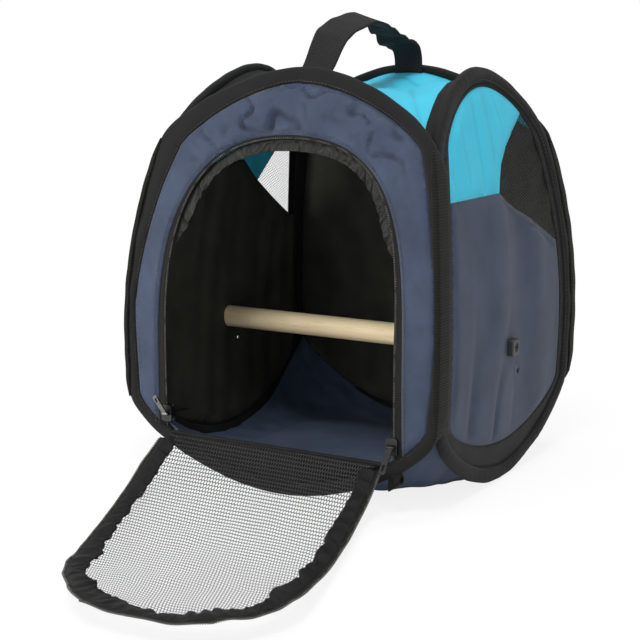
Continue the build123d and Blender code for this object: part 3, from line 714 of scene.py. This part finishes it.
front_outline, back_outline = wall_outline("front"), wall_outline("back")
front_ring = above(front_outline, SILL)
panel("front_cloth", "front", ring_under(seam_arch(), SILL + 2), "front_panel", navy_cloth, 0.9, front_shape,
      2.4, fade=5)
below = front_outline[front_outline[:, 1] < SILL]
below = below[np.argsort(below[:, 0])]
end = np.abs(below[:, 0]).max()
base_loop = spaced(np.vstack([[(-end, SILL)], below, [(end, SILL)]]), 160)
panel("front_base_cloth", "front", base_loop, "front_base_band", black_cloth, 0.0,
      lambda u, z: 0.6 * ripple(u, z, 31, 30) + 0.6, 3.0, fade=6)
panel("front_lining_cloth", "front", ring_under(arch(6.0), SILL + 12), "front_lining", lining_cloth, -1.1,
      lambda u, z: -0.8 + 0.5 * ripple(u, z, 41, 26), 4.0, thickness=0.5)
panel("back_cloth", "back", back_outline, "back_panel", navy_cloth, 0.0, back_shape, 4.0, fade=12)
panel("back_lining_cloth", "back", back_outline, "back_lining", lining_cloth, -1.3,
      lambda u, z: -1.6 + 1.4 * ripple(u, z, 53, 38, 0.1, 1.0), 4.0, thickness=0.5, fade=12)

# ---- side walls
# a side's seams: where they meet, the blue panel's edge and the window's edge from there,
# the height at which the front seam leaves the outline, and that seam's bends
SEAMS = {
    "right": ((-4.0, 225.0), [(0, 234), (7, 246), (22, 259), (41.5, 270.5), (64, 283), (88, 297)],
              [(7, 217.5), (20, 212), (50, 201), (86, 185), (126, 167)], 225.0, []),
    "left": ((40.0, 219.0), [(51, 231), (63, 244), (80, 264), (104, 294)],
             [(72, 200), (108, 180), (130, 168)], 240.0, [(12, 239), (28, 227)])}
VENT = [(20 + 2 * math.cos(t), 83 + 2 * math.sin(t)) for t in np.linspace(0, 2 * math.pi, 17)[:-1]]


def flat_by_cap(u, z):
    """0 at the perch cap and the vent, which hold the cloth down, and 1 away from them."""
    cap = np.exp(-(((u - 3) / 15) ** 2 + ((z - 105) / 15) ** 2))
    vent = np.exp(-(((u - 20) / 9) ** 2 + ((z - 83) / 9) ** 2))
    return 1 - np.clip((cap + vent) * 1.4, 0, 1)


def side_folds(u, z):
    """Upright folds, deepest low down towards the door."""
    low = np.clip((150 - z) / 90, 0, 1) * np.clip((30 - u) / 60, 0, 1)
    folds = 0.9 * ripple(u, z, 64, 90, 0.1, 0.8) + (0.25 + 1.9 * low) * creased(u, z, 65, 80, 0.12, 0.7)
    return (1.0 + folds) * flat_by_cap(u, z)


def blue_shape(u, z):
    return 0.9 + 0.8 * ripple(u, z, 61, 40, 0.0, 0.5) + 0.7 * creased(u, z, 62, 70, 0.1, 0.8)


def seam_to_edge(points, loop):
    """A seam, up to where it leaves a panel's outline."""
    line = spaced(np.array(points, float), 300, loop=False)
    out = ~inside(line, loop)
    k = np.argmax(out) if out.any() else len(line) - 1
    return spaced(line[:max(k, 2)], 40, loop=False)


def nearest(loop, point):
    return int(np.argmin(np.linalg.norm(loop - point, axis=1)))


def run(loop, i, j):
    """A closed outline's points from index i round to index j."""
    return np.roll(loop, -i, axis=0)[:(j - i) % len(loop) + 1]


def side_wall(side):
    """A side wall's blue, navy, band and lining cloths. Gives its window's outline."""
    corner, blue_edge, window_edge, front_z, bends = SEAMS[side]
    outline = egg(PANEL_HALF, FRONT_R - (HALF - PANEL_HALF), PANEL_TOP, PANEL_BASE, 420)
    blue_seam = seam_to_edge([corner, *blue_edge], outline)
    window_seam = seam_to_edge([corner, *window_edge], outline)
    i, j = nearest(outline, blue_seam[-1]), nearest(outline, window_seam[-1])
    k = int(np.argmin(np.abs(outline[:, 1] - front_z) + 1000 * (outline[:, 0] > 0)))
    front_seam = spaced(np.array([outline[k], *bends, corner]), 40, loop=False)
    blue_loop = np.vstack([blue_seam, run(outline, i, k)[1:], front_seam[1:-1]])
    seams = np.vstack([window_seam[::-1][:-1], front_seam[::-1][:-1]])
    panel(f"{side}_blue_cloth", side, blue_loop, f"{side}_blue_panel", blue_cloth, 0.0, blue_shape, 2.6,
          fade=8)
    panel(f"{side}_navy_cloth", side, np.vstack([seams, run(outline, k, j)[:-1]]), f"{side}_navy_panel",
          navy_cloth, 0.0, side_folds, 3.0, holes=[VENT], fade=10)
    panel(f"{side}_band_cloth", side, side_outline, f"{side}_side_band", black_cloth, 0.2,
          lambda u, z: 0.25 * ripple(u, z, 66, 40), 3.0, holes=[outline], fade=4, thickness=0.8)
    to_window = run(side_outline, nearest(side_outline, outline[k]), nearest(side_outline, outline[j]))
    panel(f"{side}_lining_cloth", side, np.vstack([seams, to_window]), f"{side}_lining", lining_cloth, -1.3,
          lambda u, z: -1.2 + 1.2 * ripple(u, z, 67, 34, 0.1, 1.0), 4.0, holes=[VENT], thickness=0.5, fade=10)
    return np.vstack([window_seam, run(outline, j, i)[1:], blue_seam[::-1][1:-1]])


side_outline = inset_egg(False, SIDE_SLEEVE + GAP)
windows = {side: side_wall(side) for side in ("right", "left")}


# ---- net
def net(name, loop, place, pitch, strand, body, node, slant, tall):
    """Open warp-knitted net over an outline: a sheet of real holes, with yarn as wide as strand."""
    n = int(340 / pitch)
    j, i = np.meshgrid(np.arange(-n, n), np.arange(-n, n), indexing="ij")
    c = pair((i + 0.5 * (j % 2)) * pitch, j * pitch * 0.866 * tall)
    turn = np.array([[math.cos(slant), math.sin(slant)], [-math.sin(slant), math.cos(slant)]])
    c = c[inside(c @ turn, loop)]
    a = math.pi / 6 + math.pi / 3 * np.arange(6)
    cell = np.stack([np.cos(a), np.sin(a) * tall], 1)
    outer, inner = (c[:, None] + cell[None] * size / math.sqrt(3) for size in (pitch, pitch - strand))
    corner, index = np.unique(np.round(outer.reshape(-1, 2), 3), axis=0, return_inverse=True)
    index = index.reshape(-1, 6)
    hole = len(corner) + 6 * np.arange(len(c))[:, None] + np.arange(6)
    f = [np.stack([index[:, m], index[:, m - 5], hole[:, m - 5], hole[:, m]], 1) for m in range(6)]
    points = np.vstack([corner, inner.reshape(-1, 2)]) @ turn
    o = build(name, place(points), np.vstack(f).tolist(), net_yarn, points)
    region = len(c) * pitch * pitch * 0.866 * tall
    length = float(np.ptp(c @ turn, axis=0).max())
    yarn = region * (1 - ((pitch - strand) / pitch) ** 2)
    cloth_piece(o, body, node, (region / length, length, yarn))


for side, strand in (("right", 0.50), ("left", 0.36)):
    net(f"{side}_window_net", windows[side], lambda p, s=side: wall(s, *p.T, 0.6 * ripple(*p.T, 71, 30)), 2.1,
        strand, "shell", f"{side}_mesh_window", 0.35, 1.3)


# ---- roof
def draped(u, v):
    """The roof at u and v, each from -1 at one edge to 1 at the other."""
    inner = HALF - SLEEVE / 2
    cx, cy = (inner - lean(JOIN_TOP, r) for r in (SIDE_R, FRONT_R))
    px, py = (lean(HEIGHT - SLEEVE, r) - lean(JOIN_TOP, r) for r in (SIDE_R, FRONT_R))
    au, av = np.cos(np.pi * u / 2), np.cos(np.pi * v / 2)
    rise = au * (0.37 + 0.63 * v * v) + av * (0.37 + 0.63 * u * u)
    x, y = u * (cx - px * av), v * (cy - py * au)
    hold = np.clip((1 - np.maximum(np.abs(u), np.abs(v))) / 0.12, 0, 1)
    slack = ripple(x, y, 81, 46) + 1.3 * creased(x, y, 82, 60, 0.9, 1.0) + 0.4
    return np.stack([x, y, JOIN_TOP + 51.0 * rise + hold * slack], -1)


def roof(n=90, reach=1.012):
    """The slack roof, a little wider than the hoops it hangs between."""
    t = np.linspace(-reach, reach, n)
    p = draped(*np.meshgrid(t, t, indexing="ij"))
    o = build("roof_cloth", p, grid_faces(n, n), blue_cloth, p[..., :2].reshape(-1, 2))
    thick(o, 0.9)
    cloth_piece(o, "shell", "roof", rows_pattern(p, mean_length(p.transpose(1, 0, 2))))


def roof_binding(rows=120, cols=6):
    """The side hoops' binding lies over the roof's edges."""
    t, w = np.linspace(-0.99, 0.99, rows), np.linspace(0.885, 1.0, cols)
    strips, uvs, f = [], [], []
    for sign in (1, -1):
        a, b = np.meshgrid(t, w, indexing="ij")
        wide = 1 - (1 - b) * (0.55 + 0.45 * np.cos(a * math.pi / 2))
        p = draped(wide * sign, a)
        p[..., 2] += 1.0 + 0.3 * ripple(p[..., 1], p[..., 0], 84, 20)
        f += grid_faces(rows, cols, base=len(strips) * rows * cols)
        strips.append(p)
        uvs.append(pair(a * 120, sign * b * 120))
    o = build("roof_edge_binding", strips, f, binding, np.vstack(uvs))
    thick(o, 1.1)
    cloth_piece(o, "shell", "roof", rows_pattern(np.vstack(strips), 2 * length_of(strips[0][:, 3])),
                replaces=False)


roof()
roof_binding()


# ---- floor and mat
def floor_tub(n=110):
    """A level floor that curves up at its edges, with slack cloth raised in its corners."""
    t = np.linspace(-1.0, 1.0, n)
    t = np.sign(t) * np.abs(t) ** 0.8
    u, v = np.meshgrid(t, t, indexing="ij")
    side = HALF - SLEEVE / 2 - lean(JOIN_BASE, SIDE_R)
    drop = JOIN_BASE - 6.0
    slack = (JOIN_BASE - 0.6) / drop - 1
    u6, v6 = u ** 6, v ** 6
    lift = (slack + u * u) * v6 + (slack + v * v) * u6 - (1 + slack) * u6 * v6
    edge = np.maximum(np.abs(u), np.abs(v))
    soft = np.clip((edge - 0.5) / 0.3, 0, 1) * np.clip((1 - edge) / 0.06, 0, 1)
    corner = np.clip(np.abs(u * v) / 0.92, 0, 1) ** 6 * np.clip((1 - edge) / 0.1, 0, 1)
    x, y = u * side, v * side
    z = 0.75 + drop * lift + soft * 0.9 * ripple(x, y, 91, 26) + corner * (21.0 + 4.0 * creased(x, y, 92, 26))
    p = np.stack([x, y, z], -1)
    o = build("floor_tub", p, grid_faces(n, n), floor_navy, pair(x, y))
    thick(o, 1.0)
    wide, long = length_of(p[n // 2]), length_of(p[:, n // 2])
    cut = 0.97  # what its rounded corners leave of the rectangle
    cloth_piece(o, "shell", "floor_cloth", (wide, long, wide * long * cut))


def floor_mat(rings=26, around=160, half=89.5):
    """A padded mat: crowned top, rounded edge, level underside."""
    a = 2 * math.pi * np.arange(around) / around
    rim = [np.sign(c) * np.abs(c) ** 0.5 * half for c in (np.cos(a), np.sin(a))]
    s = np.sin(np.arange(rings) / (rings - 1) * math.pi / 2)[:, None]
    x, y = (c * s for c in rim)
    dents = 0.35 * (ripple(x, y, 95, 40) + creased(x, y, 96, 70)) * (1 - s ** 4)
    top = np.stack([x, y, 2.8 + 2.9 * np.sqrt(np.clip(1 - s ** 10, 0, 1)) + dents], -1)
    under = np.stack([x, y, np.full_like(x, 2.72)], -1)[-2::-1]
    p = np.vstack([top, under]).reshape(-1, 3)
    o = build("floor_mat_pad", p, grid_faces(2 * rings - 1, around, False, True), floor_navy, p[:, :2])
    bm = bmesh.new()
    bm.from_mesh(o.data)
    bmesh.ops.remove_doubles(bm, verts=bm.verts, dist=1e-6)
    bm.to_mesh(o.data)
    bm.free()
    own(o, "shell", "floor_mat")


floor_tub()
floor_mat()


# ---- corner tapes
def corner_tapes(rows=110):
    """Ribbed tape over each upright corner: a narrow lap on the front or back, a wide one on the side."""
    section = np.array([(-4.4, 0.0), (-3.2, 0.12), (-1.9, 0.1), (-0.7, -0.25), (-0.1, -1.2), (0.0, -3.0),
                        (0.15, -6.5), (0.2, -11.0), (0.15, -15.5), (0.0, -20.6)])
    a, b = section.T[:, None]
    z = np.linspace(JOIN_BASE - 5, JOIN_TOP + 2, rows)[:, None]
    end = np.minimum(1.0, np.minimum(z - z[0], z[-1] - z) / 20.0)
    wide = 0.30 + 0.70 * end ** 0.7
    tapes, f = [], []
    for sx, sy in ((1, 1), (1, -1), (-1, 1), (-1, -1)):
        reach, sunk = (0.5, 0.7) if sy > 0 else (1.0, 0.0)
        shift = 0.14 * ripple(z, 0 * z, 99 + sx + 2 * sy, 22) - 1.5 * (1 - end) ** 2 - sunk + HALF + 4.9
        x = sx * (shift - lean(z, SIDE_R) + a * wide)
        y = sy * (shift - lean(z, FRONT_R) + b * wide * reach)
        f += grid_faces(rows, len(section), base=len(tapes) * x.size)
        tapes.append(np.stack([x, y, z + 0 * x], -1))
    uv = np.tile(pair(z, steps_along(section)[None]), (4, 1))
    o = build("corner_tape_binding", tapes, f, grosgrain, uv)
    thick(o, 1.1, -1.0)
    cloth_piece(o, "shell", "corner_tapes", rows_pattern(np.vstack(tapes), 4 * length_of(tapes[0][:, 4])))


corner_tapes()


# ---- zip on the wall
def blend(line_in, line_out, w):
    """Points between two lines, at shares w of the way across."""
    return line_in[:, None] * (1 - w)[None, :, None] + line_out[:, None] * w[None, :, None]


def strip(name, place, line_in, line_out, cols, material, shape, mm, body, node):
    """A strip of cloth between two lines. shape(length, share) gives how far it stands off, in mm."""
    w = np.linspace(0, 1, cols)
    p = blend(line_in, line_out, w)
    x = steps_along(line_in)[:, None]
    size = strip_pattern(line_in, line_out)
    points = place(p[..., 0], p[..., 1], shape(x, w[None]))
    o = build(name, points, grid_faces(len(line_in), cols), material, pair(x, size[0] * w[None]))
    thick(o, mm)
    cloth_piece(o, body, node, size)


def front_wall(u, z, off):
    return wall("front", u, z, off)


def lip_shape(x, w):
    gathers = 0.9 * ripple(x, w * 5, 111, 9, 0, 0.9) + 1.1 * creased(x, w * 9, 112, 15, 0.2, 1.8)
    return (1 - w) ** 0.7 * gathers - 2.6


strip("zip_tape_cloth", front_wall, arch(0.9, 700), seam_arch(1.6, 700), 7, tape_cloth,
      lambda x, w: 0.45 + 0.06 * ripple(x, w * 8, 101, 14, 0, 0.8), 0.8, "shell", "zip_tape")

coil_line = arch(1.9, 900)
coil_line = coil_line[coil_line[:, 1] > SILL + 1]
coil_points = wall("front", *coil_line.T, 0.1)
coil_normals = wall_normals("front", coil_line[:, 1])
coil_dirs = towards(coil_points, (0, -120, 140), np.cross(coil_normals, directions(coil_points)))
teeth("zip_teeth", coil_points, coil_normals, coil_dirs, "shell", "zip_chain", replaces=True)
tube("zip_cord", coil_points - coil_dirs * 1.6, coil_normals, coil_dirs, (1.0, 0.7), tape_cloth, "shell",
     "zip_chain")

lip_out = arch(1.6, 900)
high = lip_out[:, 1] > 186
lip_out, lip_in = lip_out[high], arch(-7.0, 900)[high]
from_end = np.minimum(np.arange(len(lip_out)), np.arange(len(lip_out))[::-1])
taper = np.clip(from_end / 40.0, 0.05, 1)[:, None] ** 0.6
strip("arch_lip_ruffle", front_wall, lip_out + (lip_in - lip_out) * taper, lip_out, 15, lip_cloth, lip_shape,
      0.7, "shell", "arch_lip")


# ---- stitching and the short tab
def wall_stitches(name, which, line, off, node):
    """Stitching along a line on a wall."""
    line = spaced(line, 200, loop=False)
    stitches(name, wall(which, *line.T, off), wall_normals(which, line[:, 1]), node, 3.0, 0.5)


wall_stitches("zip_seam_stitching", "front", seam_arch(2.6), 3.0, "front_panel")
for side, row, line in (
        ("right", "stitching", [(-2, 219), (20, 206.5), (50, 195.5), (84, 180), (101, 172)]),
        ("right", "edge", [(-2, 222.5), (20, 210), (50, 199), (84, 183.5), (101, 175.5)]),
        ("left", "stitching", [(41, 213), (72, 194.5), (104, 176)])):
    wall_stitches(f"{side}_window_hem_{row}", side, line, 1.9, f"{side}_navy_panel")


def hoop_tab():
    """The short folded end of binding that hangs under the front hoop, on the right."""
    t, w = np.linspace(0, 1, 25)[:, None], np.linspace(-6, 6, 9)[None]
    shares = (2.2 * np.sin(t * 2 * math.pi) * (1 - 0.3 * t), -9.5 * np.sin(t * math.pi) ** 0.8, w,
              0.5 * ripple(t * 18, w, 161, 9))
    ways = ((0.1, 1.0, 0.1), (-0.1, 0.1, 1.0), (0.80, 0.05, 0.58), (0.3, 1, 0))
    p = np.array([101.0, -131.5, 31.0]) + sum(s[..., None] * np.array(way) for s, way in zip(shares, ways))
    o = build("front_hoop_tab", p, grid_faces(25, 9), grosgrain, pair(t * 22, w))
    thick(o, 1.0)
    long = length_of(p[:, 4])
    cloth_piece(o, "shell", "front_hoop_sleeve", (12.0, long, 12.0 * long),
                replaces=False)


hoop_tab()

# ---- handle
# the webbing's two edges as (y, z), from the front seam to the back one
FAR_EDGE = [(-80, 309), (-77, 314), (-71, 320), (-62, 333), (-51, 347), (-30, 355), (-8, 359.5), (11, 361),
            (24, 356.5), (35, 350), (45, 343.5), (54, 337), (69, 334), (79.5, 331.5), (83.5, 324), (84, 311)]
NEAR_EDGE = [(-80, 309), (-76, 313), (-69, 318), (-58, 328), (-46, 340), (-33, 346), (-19, 349), (-8, 351.5),
             (4, 354), (20, 351.5), (41, 346), (54, 340), (63, 341), (79.5, 334), (83.5, 325), (84, 311)]


def smoothed(edge, t):
    """An edge with its corners rounded, at shares t of its length."""
    kernel = np.exp(-(np.arange(-24, 25) / 10.0) ** 2)
    e = np.pad(spaced(edge, 600, loop=False), ((24, 24), (0, 0)), mode="edge").T
    return np.stack([np.interp(t, np.linspace(0, 1, 600), np.convolve(c, kernel / kernel.sum(), "valid"))
                     for c in e], 1)


def strap(rows=170, cols=17):
    """Webbing arch from seam to seam: rolled over at its crown, rumpled towards the back."""
    t = np.linspace(0, 1, rows)
    w = np.linspace(0, 1, cols)
    far, near = smoothed(FAR_EDGE, t), smoothed(NEAR_EDGE, t)
    mid = blend(far, near, w)
    long = length_of(mid.mean(1))
    g = directions(mid.mean(1))[:, None]
    t = t[:, None]
    s = t * long
    roll = np.abs(far[:, 1:] - near[:, 1:])
    x = (w[None] * 2 - 1) * np.sqrt(np.maximum(12.4 ** 2 - (roll / 2) ** 2, 80))
    rumple = 1.0 * ripple(s, x, 124, 17, 0.2, 1.0) + 0.9 * creased(s, x, 125, 22, 0.2, 1.2)
    off = 0.3 * ripple(s, x, 121, 30) + np.exp(-((t - 0.72) / 0.11) ** 2) * rumple
    off = off * np.clip(np.minimum(t, 1 - t) / 0.06, 0, 1)
    p = np.stack([x, mid[..., 0] - g[..., 1] * off, mid[..., 1] + g[..., 0] * off], -1)
    o = build("handle_webbing", p, grid_faces(rows, cols), webbing, pair(s, x + 12.5))
    thick(o, 1.9)
    cloth_piece(o, "handle", "handle", (25.0, long, 25.0 * long))


strap()

# ---- door flap
HINGE_Y, DROP, BOW_R, LONG = -132.11, math.radians(15.2), 250.0, 229.0
BOW = BOW_R - math.sqrt(BOW_R * BOW_R - LONG * LONG / 4)
EDGE = ARCH - 4.6


def door_line(inset, n=600, start=6.5):
    line = arched(EDGE - inset, LONG - inset, start, ARCH_STRAIGHT - SILL)
    return spaced(line, n, loop=False)


# the flap's own half widths at distances from its hinge, and those that it shows as it hangs
OWN_EDGE = door_line(0.0, start=0.0)[:300, ::-1]
SEEN_LEFT = np.array([(0, 101), (6, 103), (30, 106), (64, 103), (98, 99), (127, 95.5), (153, 88), (171, 76.5),
                      (191, 54), (203, 34)])
SEEN_RIGHT = np.array([(0, 92), (21, 93), (45, 94), (81, 96), (112, 96), (137, 95), (154, 90), (182, 77),
                       (197, 65), (205, 52)])


def flap(u, v, off=0.0):
    """Points of the hanging door: u across, v from its hinge, off towards its outer face."""
    u, v, off = floats(u, v, off)
    share = np.clip(v / LONG, 0, 1.05)
    hung = v * (1 - 0.088 * share)
    half = np.interp(v, *OWN_EDGE.T)
    left, right = (np.clip(np.interp(hung, *seen.T) / half, 0.86, 1.14) for seen in (SEEN_LEFT, SEEN_RIGHT))
    bow = BOW - BOW_R + np.sqrt(BOW_R * BOW_R - (hung - LONG / 2) ** 2)
    ripples = share * (1.5 * ripple(u, v, 131, 80) + 0.7 * ripple(u, v, 132, 34))
    n = bow + off + ripples - 3.0 * share ** 3 * (u / 90) ** 2
    y = HINGE_Y - math.cos(DROP) * hung + math.sin(DROP) * n
    z = SILL - math.sin(DROP) * hung - math.cos(DROP) * n
    return np.stack([u * np.where(u < 0, left, right), y, z], -1)


def flap_frame(line, step=0.5):
    """A line's points on the flap, its normals there and the directions to its middle."""
    u, v = line.T
    p = flap(u, v)
    n = np.cross(flap(u + step, v) - flap(u - step, v), flap(u, v + step) - flap(u, v - step))
    n = n / np.linalg.norm(n, axis=1)[:, None]
    return p, n, towards(p, flap(0.0, 100.0), np.cross(n, directions(p)))


def wavy(line, amount, seed):
    """An edge pulled about by its gathering: the line moved in and out by up to amount."""
    s, high = steps_along(line), line[:, 1]
    g = directions(line)
    n = towards(line, (0, 90), np.stack([-g[:, 1], g[:, 0]], 1))
    waves = sum(share * ripple(s, 0 * s, seed + k, size)
                for k, (share, size) in enumerate([(0.6, 60), (0.45, 22), (0.35, 9)]))
    m = amount * np.clip(high / 120, 0.15, 1) * waves + 7.0 * np.clip((high - 120) / 70, 0, 1)
    return line + n * m[:, None]


def border_shape(x, w):
    crumple = 0.7 * ripple(x, w * 12, 145, 18, 0.0, 1.6) + 0.8 * creased(x, w * 16, 146, 26, 0.2, 1.4)
    return (0.3 + w) * crumple - 0.8 * np.sin(w * math.pi)


border_in, border_out = wavy(door_line(16.0), 3.4, 141), door_line(3.5)
strip("door_border_cloth", flap, border_out, border_in, 11, black_cloth, border_shape, 1.4, "door",
      "door_border")
strip("door_tape_cloth", flap, door_line(0.6), door_line(4.6), 5, tape_cloth,
      lambda x, w: 0.15 * ripple(x, w * 4, 147, 12, 0, 0.6), 1.0, "door", "door_zip_tape")
teeth("door_teeth", *flap_frame(door_line(0.4, 900)), "door", "door_zip_tape")
net_loop = np.vstack([border_in + (border_out - border_in) * 0.25, [(4 - EDGE, 0.4), (EDGE - 4, 0.4)]])
net("door_net", net_loop, lambda p: flap(*p.T), 2.25, 0.50, "door", "door_mesh", 0.02, 1.7)
hem_line = np.stack([np.linspace(-EDGE, EDGE, 160), np.full(160, HINGE_Y), np.full(160, SILL)], 1)
tube("door_hem_roll", hem_line, np.tile([0.0, 0, 1], (160, 1)), np.tile([0.0, 1, 0], (160, 1)), (1.45, 1.45),
     black_cloth, "door", "door_hem", 12, 0.05, 151, replaces=True)

# ---- carried-over pieces
# the left outer pull's lighter metal is a painted highlight; the right outer pull is the same part in
# gunmetal
CARRIED = {"perch": wood, "perch_caps": moulding, "perch_screws": gunmetal, "hoop_strips": gunmetal,
           "right_slider": gunmetal, "left_slider": gunmetal, "left_outer_pull": painted_highlight_pull_metal,
           "right_outer_pull": gunmetal, "left_inner_pull": gunmetal, "right_inner_pull": gunmetal}
for node, material in CARRIED.items():
    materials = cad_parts[node].data.materials
    materials.clear()
    materials.append(material)


# ---- stage
def stage_material():
    """Pale matt floor that keeps its shadows near the carrier and turns white away from it."""
    m = Mat("pale_stage")
    m.finish(m.mix(m.noise(3.0, 2), (0.88, 0.88, 0.88), (0.90, 0.90, 0.90)), 0.9, Specular_IOR_Level=0.1)
    distance = m.node("ShaderNodeVectorMath", operation="DISTANCE")
    m.put(distance.inputs[0], m.place())
    m.put(distance.inputs[1], (0.0, -0.08, 0.0))
    away = m.node("ShaderNodeMapRange", interpolation_type="SMOOTHSTEP")
    for s, v in zip(away.inputs, (distance.outputs["Value"], 0.16, 0.50, 0.84, 1.0)):
        m.put(s, v)
    glow = m.node("ShaderNodeEmission")
    m.put(glow.inputs[0], (1, 1, 1, 1))
    seen = m.math("MULTIPLY", away.outputs[0], m.seen())
    m.put(m.tree.nodes["Material Output"].inputs[0], m.blend(seen, m.shader.outputs[0], glow.outputs[0]))
    return m.material


def ground():
    """Level under the carrier, then a smooth dip in front that leaves room for the hanging door."""
    xs = np.r_[-4000, -2000, -900, np.linspace(-500, 500, 21), 900, 2000, 4000]
    ys = np.r_[-4000, -2000, -900, -500, np.linspace(-400, -120, 57), np.linspace(-100, 400, 11),
               900, 2000, 4000]
    y, x = np.meshgrid(ys, xs, indexing="ij")
    t = np.clip((-150 - y) / 115, 0, 1)
    z = -0.4 - 44 * t * t * (3 - 2 * t)
    build("ground", np.stack([x, y, z], -1), grid_faces(len(ys), len(xs)), stage_material())


def studio():
    """A world that lights softly and shows white."""
    world = bpy.data.worlds.new("studio")
    bpy.context.scene.world = world
    world.use_nodes = True
    w = Nodes(world.node_tree)
    w.tree.nodes.clear()
    lights = []
    for strength in (0.5, 1.0):
        n = w.node("ShaderNodeBackground")
        w.put(n.inputs[0], (1, 1, 1, 1))
        w.put(n.inputs[1], strength)
        lights.append(n.outputs[0])
    w.put(w.node("ShaderNodeOutputWorld").inputs[0], w.blend(w.seen(), *lights))


def lamp(name, at, size, power, target=(0, 0, 0.15)):
    light = bpy.data.lights.new(name, "AREA")
    light.shape, light.size, light.energy = "DISK", size, power
    o = bpy.data.objects.new(name, light)
    o.location = at
    o.rotation_euler = (Vector(target) - Vector(at)).to_track_quat("-Z", "Y").to_euler()
    bpy.context.scene.collection.objects.link(o)


ground()
studio()
lamp("key", (0.3, -1.1, 1.8), 0.6, 22)
lamp("fill", (-0.3, -1.9, 0.6), 0.9, 8)
lamp("left", (-0.50, -0.62, 0.26), 0.3, 2.4)
lamp("side", (1.9, -0.2, 0.9), 1.0, 4)
lamp("top", (0.1, 0.5, 1.9), 1.0, 9)
bpy.context.scene.view_settings.view_transform = "Standard"
